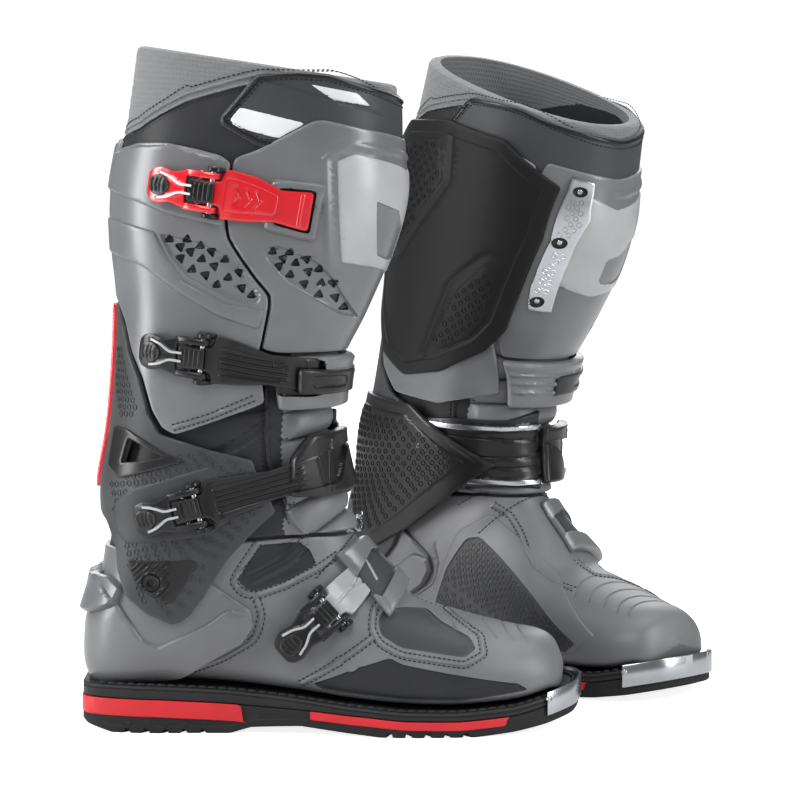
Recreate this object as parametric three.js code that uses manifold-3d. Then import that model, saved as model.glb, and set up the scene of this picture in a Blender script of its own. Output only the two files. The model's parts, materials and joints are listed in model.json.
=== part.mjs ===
// A pair of off-road riding boots: a sewn foot upper on a screwed sole, hinged plastic shells
// over a padded liner, and four over-centre buckles on each boot.
// Boot axes in mm: x from heel to toe, +y to the inner side of the right foot, z up from the ground.
import * as THREE from 'three';
import Module from 'manifold-3d';
import { mergeVertices } from 'three/addons/utils/BufferGeometryUtils.js';
import { LoftGeometry } from 'three/addons/geometries/LoftGeometry.js';

const wasm = await Module();
wasm.setup();

// ---------------------------------------------------------------- driving dimensions
const soleLength = 318;
const bootHeight = 433;
const ballWidth = 117;
const pattern = { length: 318, height: 433, ball: 117 }; // the size the outlines are drawn at

const gap = 0.3; // between pieces that rest on each other
const runningGap = 0.5; // between pieces that slide past each other
const upperFace = -1.2; // outer face of the sewn upper, measured from the boot's form
const upperWall = 4.3;
const counterWall = 2.8;
const shellWall = 3.3;
const guardWall = 3.1;
const linerWall = 6;
const catchWall = 6.5;
const strapWall = 3.2;
const bandWall = 3;
const spineWidth = 5;
const spineWall = 2.2;

// the next four are drawn at pattern height, as the sole's own lines are
const weltWall = 8.5;
const insertDepth = 11;
const frontInsertDepth = 5.5;
const grooveDepth = 2.2;
const weltDrop = 0.4; // below the upper
const grooveWidth = 4;
const toePlateWall = 1.8;

const pivotAt = [47.6, 97];
const pivotBolt = { shaft: 4, head: 9.5, headHeight: 3.2, sunk: 1, socket: 2.8, socketDepth: 2.2 };
const flexRange = [-4, 12]; // cuff angle in degrees, forward positive
const boltPlay = 0.35;
const sweepSteps = 8; // stops at which the cuff's travel is looked at
const foldStart = 124; // the bellows fold from this height
const foldSpan = 24; // and over this much, more on a longer boot, whose front moves further

const lever = {
  length: 47, width: 25, wall: 3, arm: 4, rise: 6.3, eye: 8, pin: 2, pinPlay: 0.3,
  lug: 4, lugRadius: 4.6, tip: 15, nose: 4.6, noseDrop: 0.8, socket: 1.5,
};
const strapEndPlay = 1.2;
const strapTurn = 4 / 3; // how far a strap folds back for each degree its lever opens
const strapLeaves = [4, 8, 12, 17, 22, 28, 35]; // lever angles at which a strap's end is still in its catch

const leftBoot = { // its place grows with the sole, so that the two boots stay apart
  x: (176 * soleLength) / pattern.length, y: (300 * soleLength) / pattern.length, turn: -45, flex: 9,
};

const colours = {
  shell: 0x6d6e72, leather: 0x4f5054, dark: 0x2b2b2e, black: 0x161618, light: 0xb9babd,
  red: 0xd2122b, steel: 0xa9abb0,
};

// ---------------------------------------------------------------- grading to size
const gradeX = (x) => (x * soleLength) / pattern.length;
const gradeY = (y) => (y * ballWidth) / pattern.ball;
const gradeZ = (z) => (z * bootHeight) / pattern.height;
const graded = (outline) => outline.map(([x, z]) => [gradeX(x), gradeZ(z)]);
const [pivotX, pivotZ] = [gradeX(pivotAt[0]), gradeZ(pivotAt[1])];

// ---------------------------------------------------------------- the boot's form
// Slices from the toe, round the ankle, to the collar. Each one is a flat section between a
// back (or sole) point and a front (or instep) point:
// back x, z, front x, z, half width, where it is widest, lower roundness, upper roundness, inward shift
const slices = [
  [309.5, 38, 309.5, 38, 0, 0.3, 4.5, 2.1, 6],
  [306, 25.5, 303, 53, 26, 0.3, 4.5, 2.1, 6],
  [296, 23, 292, 60, 38, 0.3, 4.5, 2.1, 5.5],
  [275, 18.5, 272, 64, 48, 0.3, 4.5, 2.1, 4.5],
  [240, 16, 242, 72, 54, 0.3, 4.5, 2.1, 2.5],
  [205, 16.5, 213, 82, 53, 0.3, 4.5, 2.1, 1],
  [170, 19.5, 197, 97, 48, 0.3, 4.5, 2.1, 0],
  [135, 24, 184, 110, 43, 0.32, 4.2, 2.1, 0],
  [95, 28, 176, 120, 41, 0.36, 3.6, 2.15, 0],
  [48, 30.5, 172, 129, 42, 0.42, 3, 2.2, 0],
  [9, 32, 169, 138, 42, 0.45, 2.8, 2.2, 0],
  [4, 62, 166, 147, 43, 0.46, 2.6, 2.2, 0],
  [11.5, 92, 163, 156, 44, 0.48, 2.5, 2.25, 0],
  [16.5, 125, 160, 168, 45, 0.5, 2.4, 2.3, 0],
  [16.5, 155, 157, 184, 47, 0.5, 2.3, 2.3, 0],
  [22.5, 190, 157, 206, 48, 0.5, 2.3, 2.3, 0],
  [26.5, 230, 161, 236, 50.5, 0.5, 2.3, 2.3, 0],
  [28, 270, 176.5, 268, 53.5, 0.5, 2.3, 2.3, 0],
  [24.5, 310, 193.5, 308, 56, 0.5, 2.3, 2.3, 0],
  [24.5, 340, 201.5, 340, 57, 0.5, 2.3, 2.3, 0],
  [29.5, 370, 200.5, 368, 57, 0.5, 2.3, 2.3, 0],
  [34, 400, 200, 396, 56.5, 0.5, 2.3, 2.3, 0],
  [38.5, 433, 198.5, 409, 56, 0.5, 2.3, 2.3, 0],
  [40, 455, 198, 430, 55.5, 0.5, 2.3, 2.3, 0],
];
const collarSlice = 22;
const openSlice = 23; // past the collar, for what hollows the boot out
const around = 16;
const rows = [0, 0.5, 1.3, 2.5, 4, 5.5, 7, 8.5, 9.5, 10.4, 11.2, 12.5, 14, 15.5, 17, 18.5, 20, 22, 23];

function sliceAt(v) {
  const last = slices.length - 1;
  const i = Math.min(Math.floor(v), last - 1);
  const f = v - i;
  const before = slices[Math.max(i - 1, 0)];
  const [from, to] = [slices[i], slices[i + 1]];
  const after = slices[Math.min(i + 2, last)];
  const values = from.map((p1, k) => {
    const p2 = to[k];
    const p0 = i === 0 ? 2 * p1 - p2 : before[k];
    const p3 = i + 2 > last ? 2 * p2 - p1 : after[k];
    const bend = (2 * p0 - 5 * p1 + 4 * p2 - p3) * f * f + (3 * p1 - p0 - 3 * p2 + p3) * f ** 3;
    return 0.5 * (2 * p1 + (p2 - p0) * f + bend);
  });
  const [backX, backZ, frontX, frontZ, half, widest, lower, upper, shift] = values;
  return { backX, backZ, frontX, frontZ, half, widest, lower, upper, shift };
}

// angle 0 is the front of the slice, a quarter turn its inner side, half a turn its back
function skinPoint(v, angle) {
  const s = sliceAt(v);
  const c = Math.cos(angle);
  const power = 2 / (c > 0 ? s.upper : s.lower);
  const reach = Math.abs(c) ** power;
  const t = c > 0 ? s.widest + (1 - s.widest) * reach : s.widest * (1 - reach);
  const side = Math.sign(Math.sin(angle)) * Math.abs(Math.sin(angle)) ** power;
  const x = s.backX + (s.frontX - s.backX) * t;
  const z = s.backZ + (s.frontZ - s.backZ) * t;
  return new THREE.Vector3(gradeX(x), gradeY(s.shift + s.half * side), gradeZ(z));
}

function skinNormal(v, angle) {
  if (v < 0.001) return new THREE.Vector3(1, 0, 0);
  const step = 0.01;
  const last = slices.length - 1;
  const along = skinPoint(Math.min(v + step, last), angle).sub(skinPoint(Math.max(v - step, 0), angle));
  const round = skinPoint(v, angle + step).sub(skinPoint(v, angle - step));
  return round.cross(along).normalize();
}

const formPoint = (v, angle, offset) => skinPoint(v, angle).addScaledVector(skinNormal(v, angle), offset);

// the slice and angle of the skin point with this x and z, on the outer (-1) or inner (+1) side
function locate(x, z, side) {
  let best = { far: Infinity };
  for (let v = 0.5; v < collarSlice; v += 0.5) {
    for (let a = 0.1; a < 3.1; a += 0.15) {
      const p = skinPoint(v, side * a);
      const far = Math.hypot(p.x - x, p.z - z);
      if (far < best.far) best = { v, a, far };
    }
  }
  let { v, a } = best;
  const step = 0.001;
  for (let i = 0; i < 12; i++) {
    const p = skinPoint(v, side * a);
    const alongV = skinPoint(v + step, side * a).sub(p).divideScalar(step);
    const alongA = skinPoint(v, side * (a + step)).sub(p).divideScalar(step);
    const det = alongV.x * alongA.z - alongA.x * alongV.z;
    const [dx, dz] = [x - p.x, z - p.z];
    v += (dx * alongA.z - dz * alongA.x) / det;
    a += (dz * alongV.x - dx * alongV.z) / det;
  }
  return { v, angle: side * a };
}

// ---------------------------------------------------------------- solids
function toSolid(geometry) {
  const bare = new THREE.BufferGeometry();
  bare.setAttribute('position', geometry.getAttribute('position'));
  bare.setIndex(geometry.index);
  const merged = mergeVertices(bare, 1e-4);
  const corners = merged.index.array;
  const triVerts = [];
  for (let i = 0; i < corners.length; i += 3) {
    const [a, b, c] = [corners[i], corners[i + 1], corners[i + 2]];
    if (a !== b && b !== c && c !== a) triVerts.push(a, b, c);
  }
  const vertProperties = new Float32Array(merged.attributes.position.array);
  const build = (order) => new wasm.Manifold(
    new wasm.Mesh({ numProp: 3, vertProperties, triVerts: new Uint32Array(order) }),
  );
  const solid = build(triVerts);
  if (solid.volume() > 0) return solid;
  return build(triVerts.reverse());
}

function toGeometry(solid) {
  const mesh = solid.getMesh();
  const geometry = new THREE.BufferGeometry();
  geometry.setAttribute('position', new THREE.BufferAttribute(new Float32Array(mesh.vertProperties), 3));
  geometry.setIndex(new THREE.BufferAttribute(new Uint32Array(mesh.triVerts), 1));
  return geometry;
}

const union = (...solids) => solids.reduce((all, one) => all.add(one));
const cut = (solid, ...tools) => tools.reduce((rest, tool) => rest.subtract(tool), solid);

const formSolids = new Map();
function form(offset, last = collarSlice) {
  const key = `${offset}/${last}`;
  if (!formSolids.has(key)) {
    const sections = rows.filter((v) => v <= last).map((v) => (
      Array.from({ length: around }, (_, i) => formPoint(v, (i / around) * 2 * Math.PI, offset))
    ));
    formSolids.set(key, toSolid(new LoftGeometry(sections, { capEnd: true })));
  }
  return formSolids.get(key);
}

// the stretch of the form between two distances from its skin
const layer = (inner, outer) => form(outer).subtract(form(inner, openSlice));

const far = 260;
const seam = 0.5; // how far the two halves of a wrapped piece run into each other

function prism(outline, from = -far, to = far) {
  const shape = new THREE.Shape(outline.map(([x, z]) => new THREE.Vector2(x, z)));
  const geometry = new THREE.ExtrudeGeometry(shape, { depth: to - from, bevelEnabled: false });
  geometry.rotateX(Math.PI / 2);
  geometry.translate(0, to, 0);
  return toSolid(geometry);
}

const outerHalf = (outline) => prism(graded(outline), -far, seam);
const innerHalf = (outline) => prism(graded(outline), -seam, far);
const through = (outline) => prism(graded(outline));
// an outline whose heights are measured from where the bellows start to fold, and grow with the fold
const aboveFold = (outline) => prism(outline.map(([x, z]) => (
  [gradeX(x), gradeZ(foldStart) + Math.max(gradeX(z - foldStart), gradeZ(z - foldStart))]
)));
const wrapped = (outer, inner) => union(outerHalf(outer), innerHalf(inner));

function cylinder(radius, from, to, [x, z], sides = 14) {
  const geometry = new THREE.CylinderGeometry(radius, radius, to - from, sides);
  geometry.translate(0, (from + to) / 2, 0);
  geometry.translate(x, 0, z);
  return toSolid(geometry);
}

// a band in side view: a centre line with its width at each point, widened by grow
function ribbon(points, grow = 0) {
  const edges = [[], []];
  points.forEach(([x, z, width], i) => {
    const [ax, az] = points[Math.max(i - 1, 0)];
    const [bx, bz] = points[Math.min(i + 1, points.length - 1)];
    const length = Math.hypot(bx - ax, bz - az);
    const [ux, uz] = [(bx - ax) / length, (bz - az) / length];
    const reach = i === 0 ? -grow : i === points.length - 1 ? grow : 0;
    const half = width / 2 + grow;
    edges[0].push([x + ux * reach - uz * half, z + uz * reach + ux * half]);
    edges[1].unshift([x + ux * reach + uz * half, z + uz * reach - ux * half]);
  });
  return [...edges[0], ...edges[1]];
}

// ---------------------------------------------------------------- sole
const soleTop = [
  [-12, 31.5], [48, 30.5], [95, 28], [135, 24], [170, 19.5], [205, 16.5], [240, 16], [275, 18.5], [296, 23],
  [330, 30.5],
];
const soleWidths = [
  [0, 0], [1, 22], [10, 34], [40, 41.5], [80, 41], [120, 43], [160, 50], [200, 57], [235, 58.5], [265, 55],
  [290, 46], [306, 33], [314, 20], [317.6, 0],
];
const tread = [
  [-12, 8], [2, 5], [20, 0], [95, 0], [108, 4], [140, 5.5], [165, 2.5], [190, 0], [250, 0], [275, 2.2],
  [296, 5.5], [330, 13],
];
const heelInsertX = [0, 99];
const frontInsertX = [146, 272];
const toePlateX = 296;

const along = (table, x) => {
  const i = Math.max(1, table.findIndex(([at]) => at >= x));
  const [[x0, y0], [x1, y1]] = [table[i - 1], table[i]];
  return y0 + ((y1 - y0) * (x - x0)) / (x1 - x0);
};

function plan(grow) {
  const curve = new THREE.SplineCurve(soleWidths.map(([x, y]) => new THREE.Vector2(x, y)));
  const steps = 20;
  const halves = [[], []];
  for (let i = 0; i <= steps; i++) {
    const u = i / steps;
    const p = curve.getPoint(u);
    const t = curve.getTangent(u);
    const shift = along([[0, 0], [200, 0], [240, 2.5], [275, 4.5], [296, 5.5], [330, 6]], Math.max(p.x, 0.1));
    const end = i === 0 || i === steps;
    const out = end ? [i === 0 ? -grow : grow, 0] : [-t.y * grow, t.x * grow];
    const x = gradeX(p.x) + out[0];
    const half = end ? 0 : gradeY(Math.max(p.y, 0)) + out[1];
    halves[0].push(new THREE.Vector2(x, gradeY(shift) + half));
    if (!end) halves[1].unshift(new THREE.Vector2(x, gradeY(shift) - half));
  }
  const shape = new THREE.Shape([...halves[0], ...halves[1]]);
  return toSolid(new THREE.ExtrudeGeometry(shape, { depth: gradeZ(60), bevelEnabled: false }));
}

const weltAt = (x) => weltDrop + gradeZ(weltWall) * (1 - 0.35 * THREE.MathUtils.smoothstep(x, 90, 190));
const topLine = (x) => gradeZ(along(soleTop, x));
const weltLine = (x) => topLine(x) - weltAt(x);
const treadLine = (x) => gradeZ(along(tread, x));

// a slab of the sole between two lines that run its length
function slab(upperLine, lowerLine, [fromX, toX] = [-12, 330]) {
  const bends = [...new Set([...soleTop, ...tread].map(([x]) => x))].sort((a, b) => a - b);
  const stops = [fromX, ...bends.filter((x) => x > fromX && x < toX), toX];
  const top = stops.map((x) => [gradeX(x), upperLine(x)]);
  const low = stops.map((x) => [gradeX(x), lowerLine(x)]);
  return prism([...top, ...low.reverse()]);
}

// a coloured insert under the welt; its ends lean, and grow makes the room it sits in
function insertBlock([from, to], depth, slant, grow) {
  const stops = [0, 0.25, 0.5, 0.75, 1].map((share) => from + (to - from) * share);
  const widen = (i) => (i === 0 ? -grow : i === stops.length - 1 ? grow : 0);
  const lean = (i, drop) => (i === stops.length - 1 ? (slant * drop) / depth : 0);
  const over = -2; // past the top of the block, so that the insert reaches it
  const point = (x, i, drop) => [gradeX(x) + lean(i, drop) + widen(i), weltLine(x) - gap - drop];
  const top = stops.map((x, i) => point(x, i, over));
  const low = stops.map((x, i) => point(x, i, depth + grow));
  return prism([...top, ...low.reverse()]);
}

function soleParts() {
  const body = plan(0);
  const block = body.intersect(slab((x) => weltLine(x) - gap, treadLine));
  const heel = (grow) => insertBlock([heelInsertX[0] - 20, heelInsertX[1]], gradeZ(insertDepth), 8, grow);
  const front = (grow) => insertBlock(frontInsertX, gradeZ(frontInsertDepth), -6, grow);
  const grooves = [30, 42, 54, 66, 78, 196, 208, 220, 232, 244].map((x) => {
    const [x0, x1] = [gradeX(x) - grooveWidth / 2, gradeX(x) + grooveWidth / 2];
    return prism([[x0, -5], [x1, -5], [x1, gradeZ(grooveDepth)], [x0, gradeZ(grooveDepth)]]);
  });
  const plateBand = slab((x) => topLine(x) + 3, (x) => topLine(x) - 12, [toePlateX, 335]);
  return {
    midsole: body.intersect(slab((x) => topLine(x) - weltDrop, weltLine)),
    heelInsert: block.intersect(heel(0)),
    frontInsert: block.intersect(front(0)),
    outsole: cut(block, heel(gap), front(gap), ...grooves),
    toePlate: cut(plan(gap + toePlateWall), plan(gap)).intersect(plateBand),
  };
}

// ---------------------------------------------------------------- outlines, drawn at pattern size
const rim = [[20, 112], [60, 118], [110, 122], [150, 124], [185, 124], [200, 130]];
const collarLine = 376;
const outlines = {
  belowRim: [[-20, -5], [340, -5], [340, 130], ...[...rim].reverse(), [-20, 112]],
  bellows: [
    [-30, 114.5], [20, 114.5], [60, 120], [110, 123.8], [150, 125.8], [186, 125.8], [201, 132], [240, 142],
    [240, 373], [98, 373], [98, 152], [-30, 150],
  ],
  aboveAnkle: [[-30, 131], [100, 150], [240, 195], [240, 480], [-30, 480]],
  collar: [[-30, collarLine], [240, collarLine], [240, 480], [-30, 480]],
  counter: [
    [-12, 118], [15, 118], [60, 112], [109.5, 78], [110.7, 68.5], [103.7, 57.8], [65.7, 35], [48, 32], [-12, 34],
  ],
  spur: [[-1, 90], [8, 97], [34, 99], [34, 72], [0, 68]],
  ankleOuter: [
    [5, 274], [28, 268], [32.5, 258], [36.5, 240], [42.5, 224], [47.5, 203], [53.5, 191], [82.2, 182],
    [110, 175], [111.3, 168.5], [123.5, 142], [116.2, 136], [109, 129], [94.8, 113.5], [87.5, 102],
    [78.3, 87.8], [70, 75.5], [59.9, 70.3], [43.4, 77.6], [31, 87.8], [27, 103.2], [26.5, 116.6],
    [20.8, 133.9], [0, 142],
  ],
  ankleInner: [
    [5, 274], [28, 268], [32.5, 258], [38, 238], [47.5, 212], [66, 196], [90, 191], [90, 118], [78.3, 87.8],
    [70, 75.5], [59.9, 70.3], [43.4, 77.6], [31, 87.8], [27, 103.2], [26.5, 116.6], [20.8, 133.9], [0, 142],
  ],
  window: [[36.2, 187.3], [31, 170], [57, 177]],
  calfOuter: [
    [5, 376], [27, 366], [43, 372], [60, 372.5], [77, 369], [92.6, 365], [99, 360], [98, 358.6], [94.5, 325],
    [96, 314], [102, 303.5], [111.5, 289.5], [120.3, 278.6], [120.3, 272], [115.5, 249], [114, 244],
    [117, 211.8], [110, 208.4], [63, 191], [55.6, 195], [49.7, 206], [44.5, 226], [38.3, 242], [34.3, 261],
    [30, 272], [5, 278],
  ],
  calfInner: [
    [5, 376], [43, 378], [90, 388], [140, 392], [172, 378], [157, 285], [147, 262], [147, 215], [110, 200],
    [70, 199], [52, 214], [43, 240], [36, 262], [30, 272], [5, 278],
  ],
  shinOuter: [
    [101.4, 363.7], [113.7, 367.7], [149, 386.4], [156, 386.4], [178, 381], [240, 366], [240, 243], [126, 243],
    [115.8, 245.5], [117.3, 249.4], [122, 272], [122, 279.3], [113.2, 290.4], [103.8, 304.2], [97.7, 314.5],
    [96.2, 324.8], [99.8, 358.6],
  ],
  shinInner: [[240, 366], [178, 381], [175, 372], [160, 285], [150, 262], [150, 243], [240, 243]],
  calfVent: [
    [55.3, 317.1], [80.3, 312], [102, 300], [109, 290.4], [117, 277.1], [113, 272], [96.9, 277.1],
    [72.2, 290.4], [61.8, 302.8],
  ],
  shinVent: [
    [119, 309], [127.3, 310.2], [150.2, 299.7], [158.3, 290.4], [171.7, 265], [162.5, 266.9], [130.7, 287.4],
    [118.4, 302],
  ],
  heatGuard: [
    [37, 366], [60, 390], [100, 397], [150, 392], [186, 366], [180, 330], [168, 296], [156, 264], [142, 246],
    [112, 224], [80, 214], [56, 224], [42, 252], [35, 300],
  ],
  ankleGuard: [[18, 180], [34, 189], [88, 195], [150, 164], [96, 108], [62, 83], [40, 82], [26, 100]],
  sidePlate: [[197, 371], [190, 374], [183.5, 331], [171.5, 297], [168, 281], [177, 281], [190, 318], [198, 345]],
  catch2Outer: [[121, 241.5], [240, 241.5], [240, 207], [124, 207]],
  catch2Inner: [[150, 241.5], [240, 241.5], [240, 207], [150, 207]],
  catch3: [[131, 152], [131, 176], [141, 190], [170, 192], [170, 150]],
  ankleBand: [[92, 140], [92, 186], [120, 192], [240, 204], [240, 146], [150, 148]],
  catch4: [[161, 112], [175, 120], [212, 98], [196, 74]],
};

// centre line and width of each strap, from just ahead of its lever to its end
const buckles = {
  1: { tail: [42.6, 349], nose: [92, 341.7], strap: [[97, 341, 31], [112, 338, 28], [127, 334, 20], [146, 330.5, 24]] },
  2: { tail: [39.5, 245.9], nose: [84.7, 239.7], strap: [[90, 239, 30], [104, 236, 26], [120, 233, 19], [145, 229, 23]] },
  3: { tail: [33, 133.2], nose: [80.3, 148], strap: [[86, 150, 28], [99, 154, 25], [121, 160, 18], [153, 168, 22]] },
  4: { tail: [126, 49.5], nose: [161.6, 81.5], strap: [[165, 85, 24], [172, 92, 22], [180, 99, 19], [188, 104, 20]] },
};

// ---------------------------------------------------------------- buckles
// A buckle's frame: origin on the lever's pin, x towards the strap's end, z out of the boot.
function buckleFrame({ tail, nose }, base) {
  const onBoot = ([x, z], offset) => {
    const { v, angle } = locate(gradeX(x), gradeZ(z), -1);
    return { point: formPoint(v, angle, offset), normal: skinNormal(v, angle) };
  };
  const back = onBoot(tail, base + lever.rise);
  const front = onBoot(nose, base + lever.rise);
  const x = front.point.clone().sub(back.point).normalize();
  const out = front.normal.add(back.normal);
  const z = out.addScaledVector(x, -out.dot(x)).normalize();
  const y = z.clone().cross(x);
  const origin = front.point.clone().addScaledVector(x, -lever.nose);
  return new THREE.Matrix4().makeBasis(x, y, z).setPosition(origin);
}

const moved = (solid, matrix) => solid.transform(matrix.elements);

// a profile in the buckle's x and z, with a thickness across it
const across = (profile, from, to) => prism(profile, from, to);
const crossPin = (radius, half, x) => cylinder(radius, -half, half, [x, 0], 8);

function leverSolid() {
  const { length, width, wall, arm, tip, nose, noseDrop, eye, pin, lug, lugRadius } = lever;
  const half = width / 2;
  const lugInner = half + runningGap;
  const profile = [
    [nose, -noseDrop], [nose, 2], [2.5, 4.6], [-length / 2, 7.2], [nose - length, 2.4], [nose - length, 0.6],
    [-length / 2, 7.2 - wall], [-tip, 4], [-eye - 4, -0.6], [-eye, -2.2], [2, -lugRadius + 0.6],
  ];
  const plate = across(profile, -half, half);
  const mouth = across([[-tip, -12], [-tip, 12], [nose + 5, 12], [nose + 5, -12]], arm - half, half - arm);
  const stubs = crossPin(pin, lugInner + lug, 0);
  const stubsOnly = cut(stubs, crossPin(pin + 1, half - arm, 0));
  return union(cut(plate, mouth), stubsOnly, crossPin(lever.socket, half - arm + 0.5, -eye));
}

function lugSolids(grow = 0) {
  const inner = lever.width / 2 + runningGap;
  const { lug, lugRadius } = lever;
  const low = -lever.rise - 5;
  const side = [
    [-lugRadius - 2 - grow, low], [lugRadius + 2 + grow, low], [lugRadius + grow, 1.5], [2.5, lugRadius],
    [-2.5, lugRadius], [-lugRadius - grow, 1.5],
  ];
  return [across(side, inner, inner + lug), across(side, -inner - lug, -inner)];
}

const lugBore = () => crossPin(lever.pin + lever.pinPlay, lever.width, 0);

// adds the two lugs and their bore to the piece that carries a buckle
function withLugs(solid, frame, inside) {
  const lugs = lugSolids().map((one) => cut(moved(one, frame), form(inside, openSlice)));
  return cut(union(solid, ...lugs), moved(lugBore(), frame));
}

function strapSolid(buckle, frame, base) {
  const low = base + runningGap;
  const band = layer(low, low + strapWall).intersect(outerHalf(ribbon(buckle.strap)));
  const [x, z] = buckle.strap[0];
  const { v, angle } = locate(gradeX(x + 3), gradeZ(z), -1);
  const toFrame = frame.clone().invert();
  const joinAt = formPoint(v, angle, low + strapWall / 2).applyMatrix4(toFrame);
  const { eye, pin, arm } = lever;
  const half = lever.width / 2 - arm - runningGap;
  const reach = [joinAt.x, joinAt.z];
  const tongue = across([
    [-eye, 2.6], [1, 1.4], [reach[0], reach[1] + strapWall / 2], [reach[0], reach[1] - strapWall / 2],
    [0, -3.4], [-eye, -2.6],
  ], -half, half);
  const ring = cylinder(lever.socket + lever.pinPlay + 1.9, -half, half, [-eye, 0], 10);
  const bore = cylinder(lever.socket + lever.pinPlay, -pin - half, half + pin, [-eye, 0], 10);
  const root = cut(moved(union(tongue, ring), frame), form(low - 0.1, openSlice));
  return cut(union(band, root), moved(bore, frame));
}

// the room for a strap's end in the catch that takes it
const strapPocket = (buckle, base) => layer(base + runningGap - 0.3, 60).intersect(
  outerHalf(ribbon(buckle.strap, strapEndPlay)),
);

// that room at each stage of the strap's way out, as its lever opens
function strapWay(buckle, frame, base) {
  const pocket = strapPocket(buckle, base);
  const toFrame = frame.clone().invert();
  const toEye = new THREE.Matrix4().makeTranslation(lever.eye, 0, 0);
  return [pocket, ...strapLeaves.map((degrees) => {
    const opened = new THREE.Matrix4().makeRotationY(THREE.MathUtils.degToRad(degrees));
    const folded = new THREE.Matrix4().makeRotationY(THREE.MathUtils.degToRad(-degrees * strapTurn));
    const swing = opened.multiply(toEye.clone().invert()).multiply(folded).multiply(toEye);
    return moved(pocket, frame.clone().multiply(swing).multiply(toFrame));
  })];
}

// ---------------------------------------------------------------- one boot
const upper = [upperFace - upperWall, upperFace];
const liner = [upper[0] - runningGap - linerWall, upper[0] - runningGap];
const counter = [upperFace + gap, upperFace + gap + counterWall];
const shell = [counter[1] + runningGap, counter[1] + runningGap + shellWall];
const guard = [shell[1] + gap, shell[1] + gap + guardWall];
const linerPadFace = counter[1] - 0.7;

// everything of the foot that the cuff sweeps past, as the cuff sees it over its travel
function footSweep() {
  const reach = union(through(outlines.belowRim), through(outlines.counter));
  const envelope = form(counter[1] + runningGap - 0.1, openSlice).intersect(reach);
  const spur = spurSolid(runningGap);
  const sweep = [];
  for (let i = 0; i <= sweepSteps; i++) {
    const angle = THREE.MathUtils.lerp(...flexRange, i / sweepSteps);
    const turn = new THREE.Matrix4().makeRotationY(THREE.MathUtils.degToRad(-angle));
    const toPivot = new THREE.Matrix4().makeTranslation(-pivotX, 0, -pivotZ);
    const matrix = toPivot.clone().invert().multiply(turn).multiply(toPivot);
    sweep.push(moved(envelope, matrix), moved(spur, matrix));
  }
  return sweep;
}

function spurSolid(grow = 0) {
  const outline = graded(outlines.spur).map(([x, z]) => [x - grow, z + (z > gradeZ(80) ? grow : -grow)]);
  return layer(counter[0], counter[1] + 9).intersect(prism(outline, -gradeY(24) - grow, gradeY(24) + grow));
}

// the bolt on one side of the ankle, and the flat seat cut for its head
function pivotBoltOn(side) {
  const { v, angle } = locate(pivotX, pivotZ, side);
  const carrier = side < 0 ? shell : guard;
  const face = Math.abs(formPoint(v, angle, carrier[1]).y) - pivotBolt.sunk;
  const inner = Math.abs(formPoint(v, angle, upper[0]).y);
  const { shaft, head, headHeight, socket, socketDepth } = pivotBolt;
  const radius = side < 0 ? head : head / 2 + 1.5;
  const at = [pivotX, pivotZ];
  const ends = (a, b) => (side < 0 ? [-b, -a] : [a, b]);
  const bolt = union(
    cylinder(shaft, ...ends(inner, face + 1), at),
    cylinder(radius, ...ends(face, face + headHeight), at, 18),
  );
  return {
    bolt: cut(bolt, cylinder(socket, ...ends(face + headHeight - socketDepth, face + headHeight + 2), at, 6)),
    seat: cylinder(radius + runningGap, ...ends(face - gap, face + 30), at, 18),
  };
}

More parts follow.
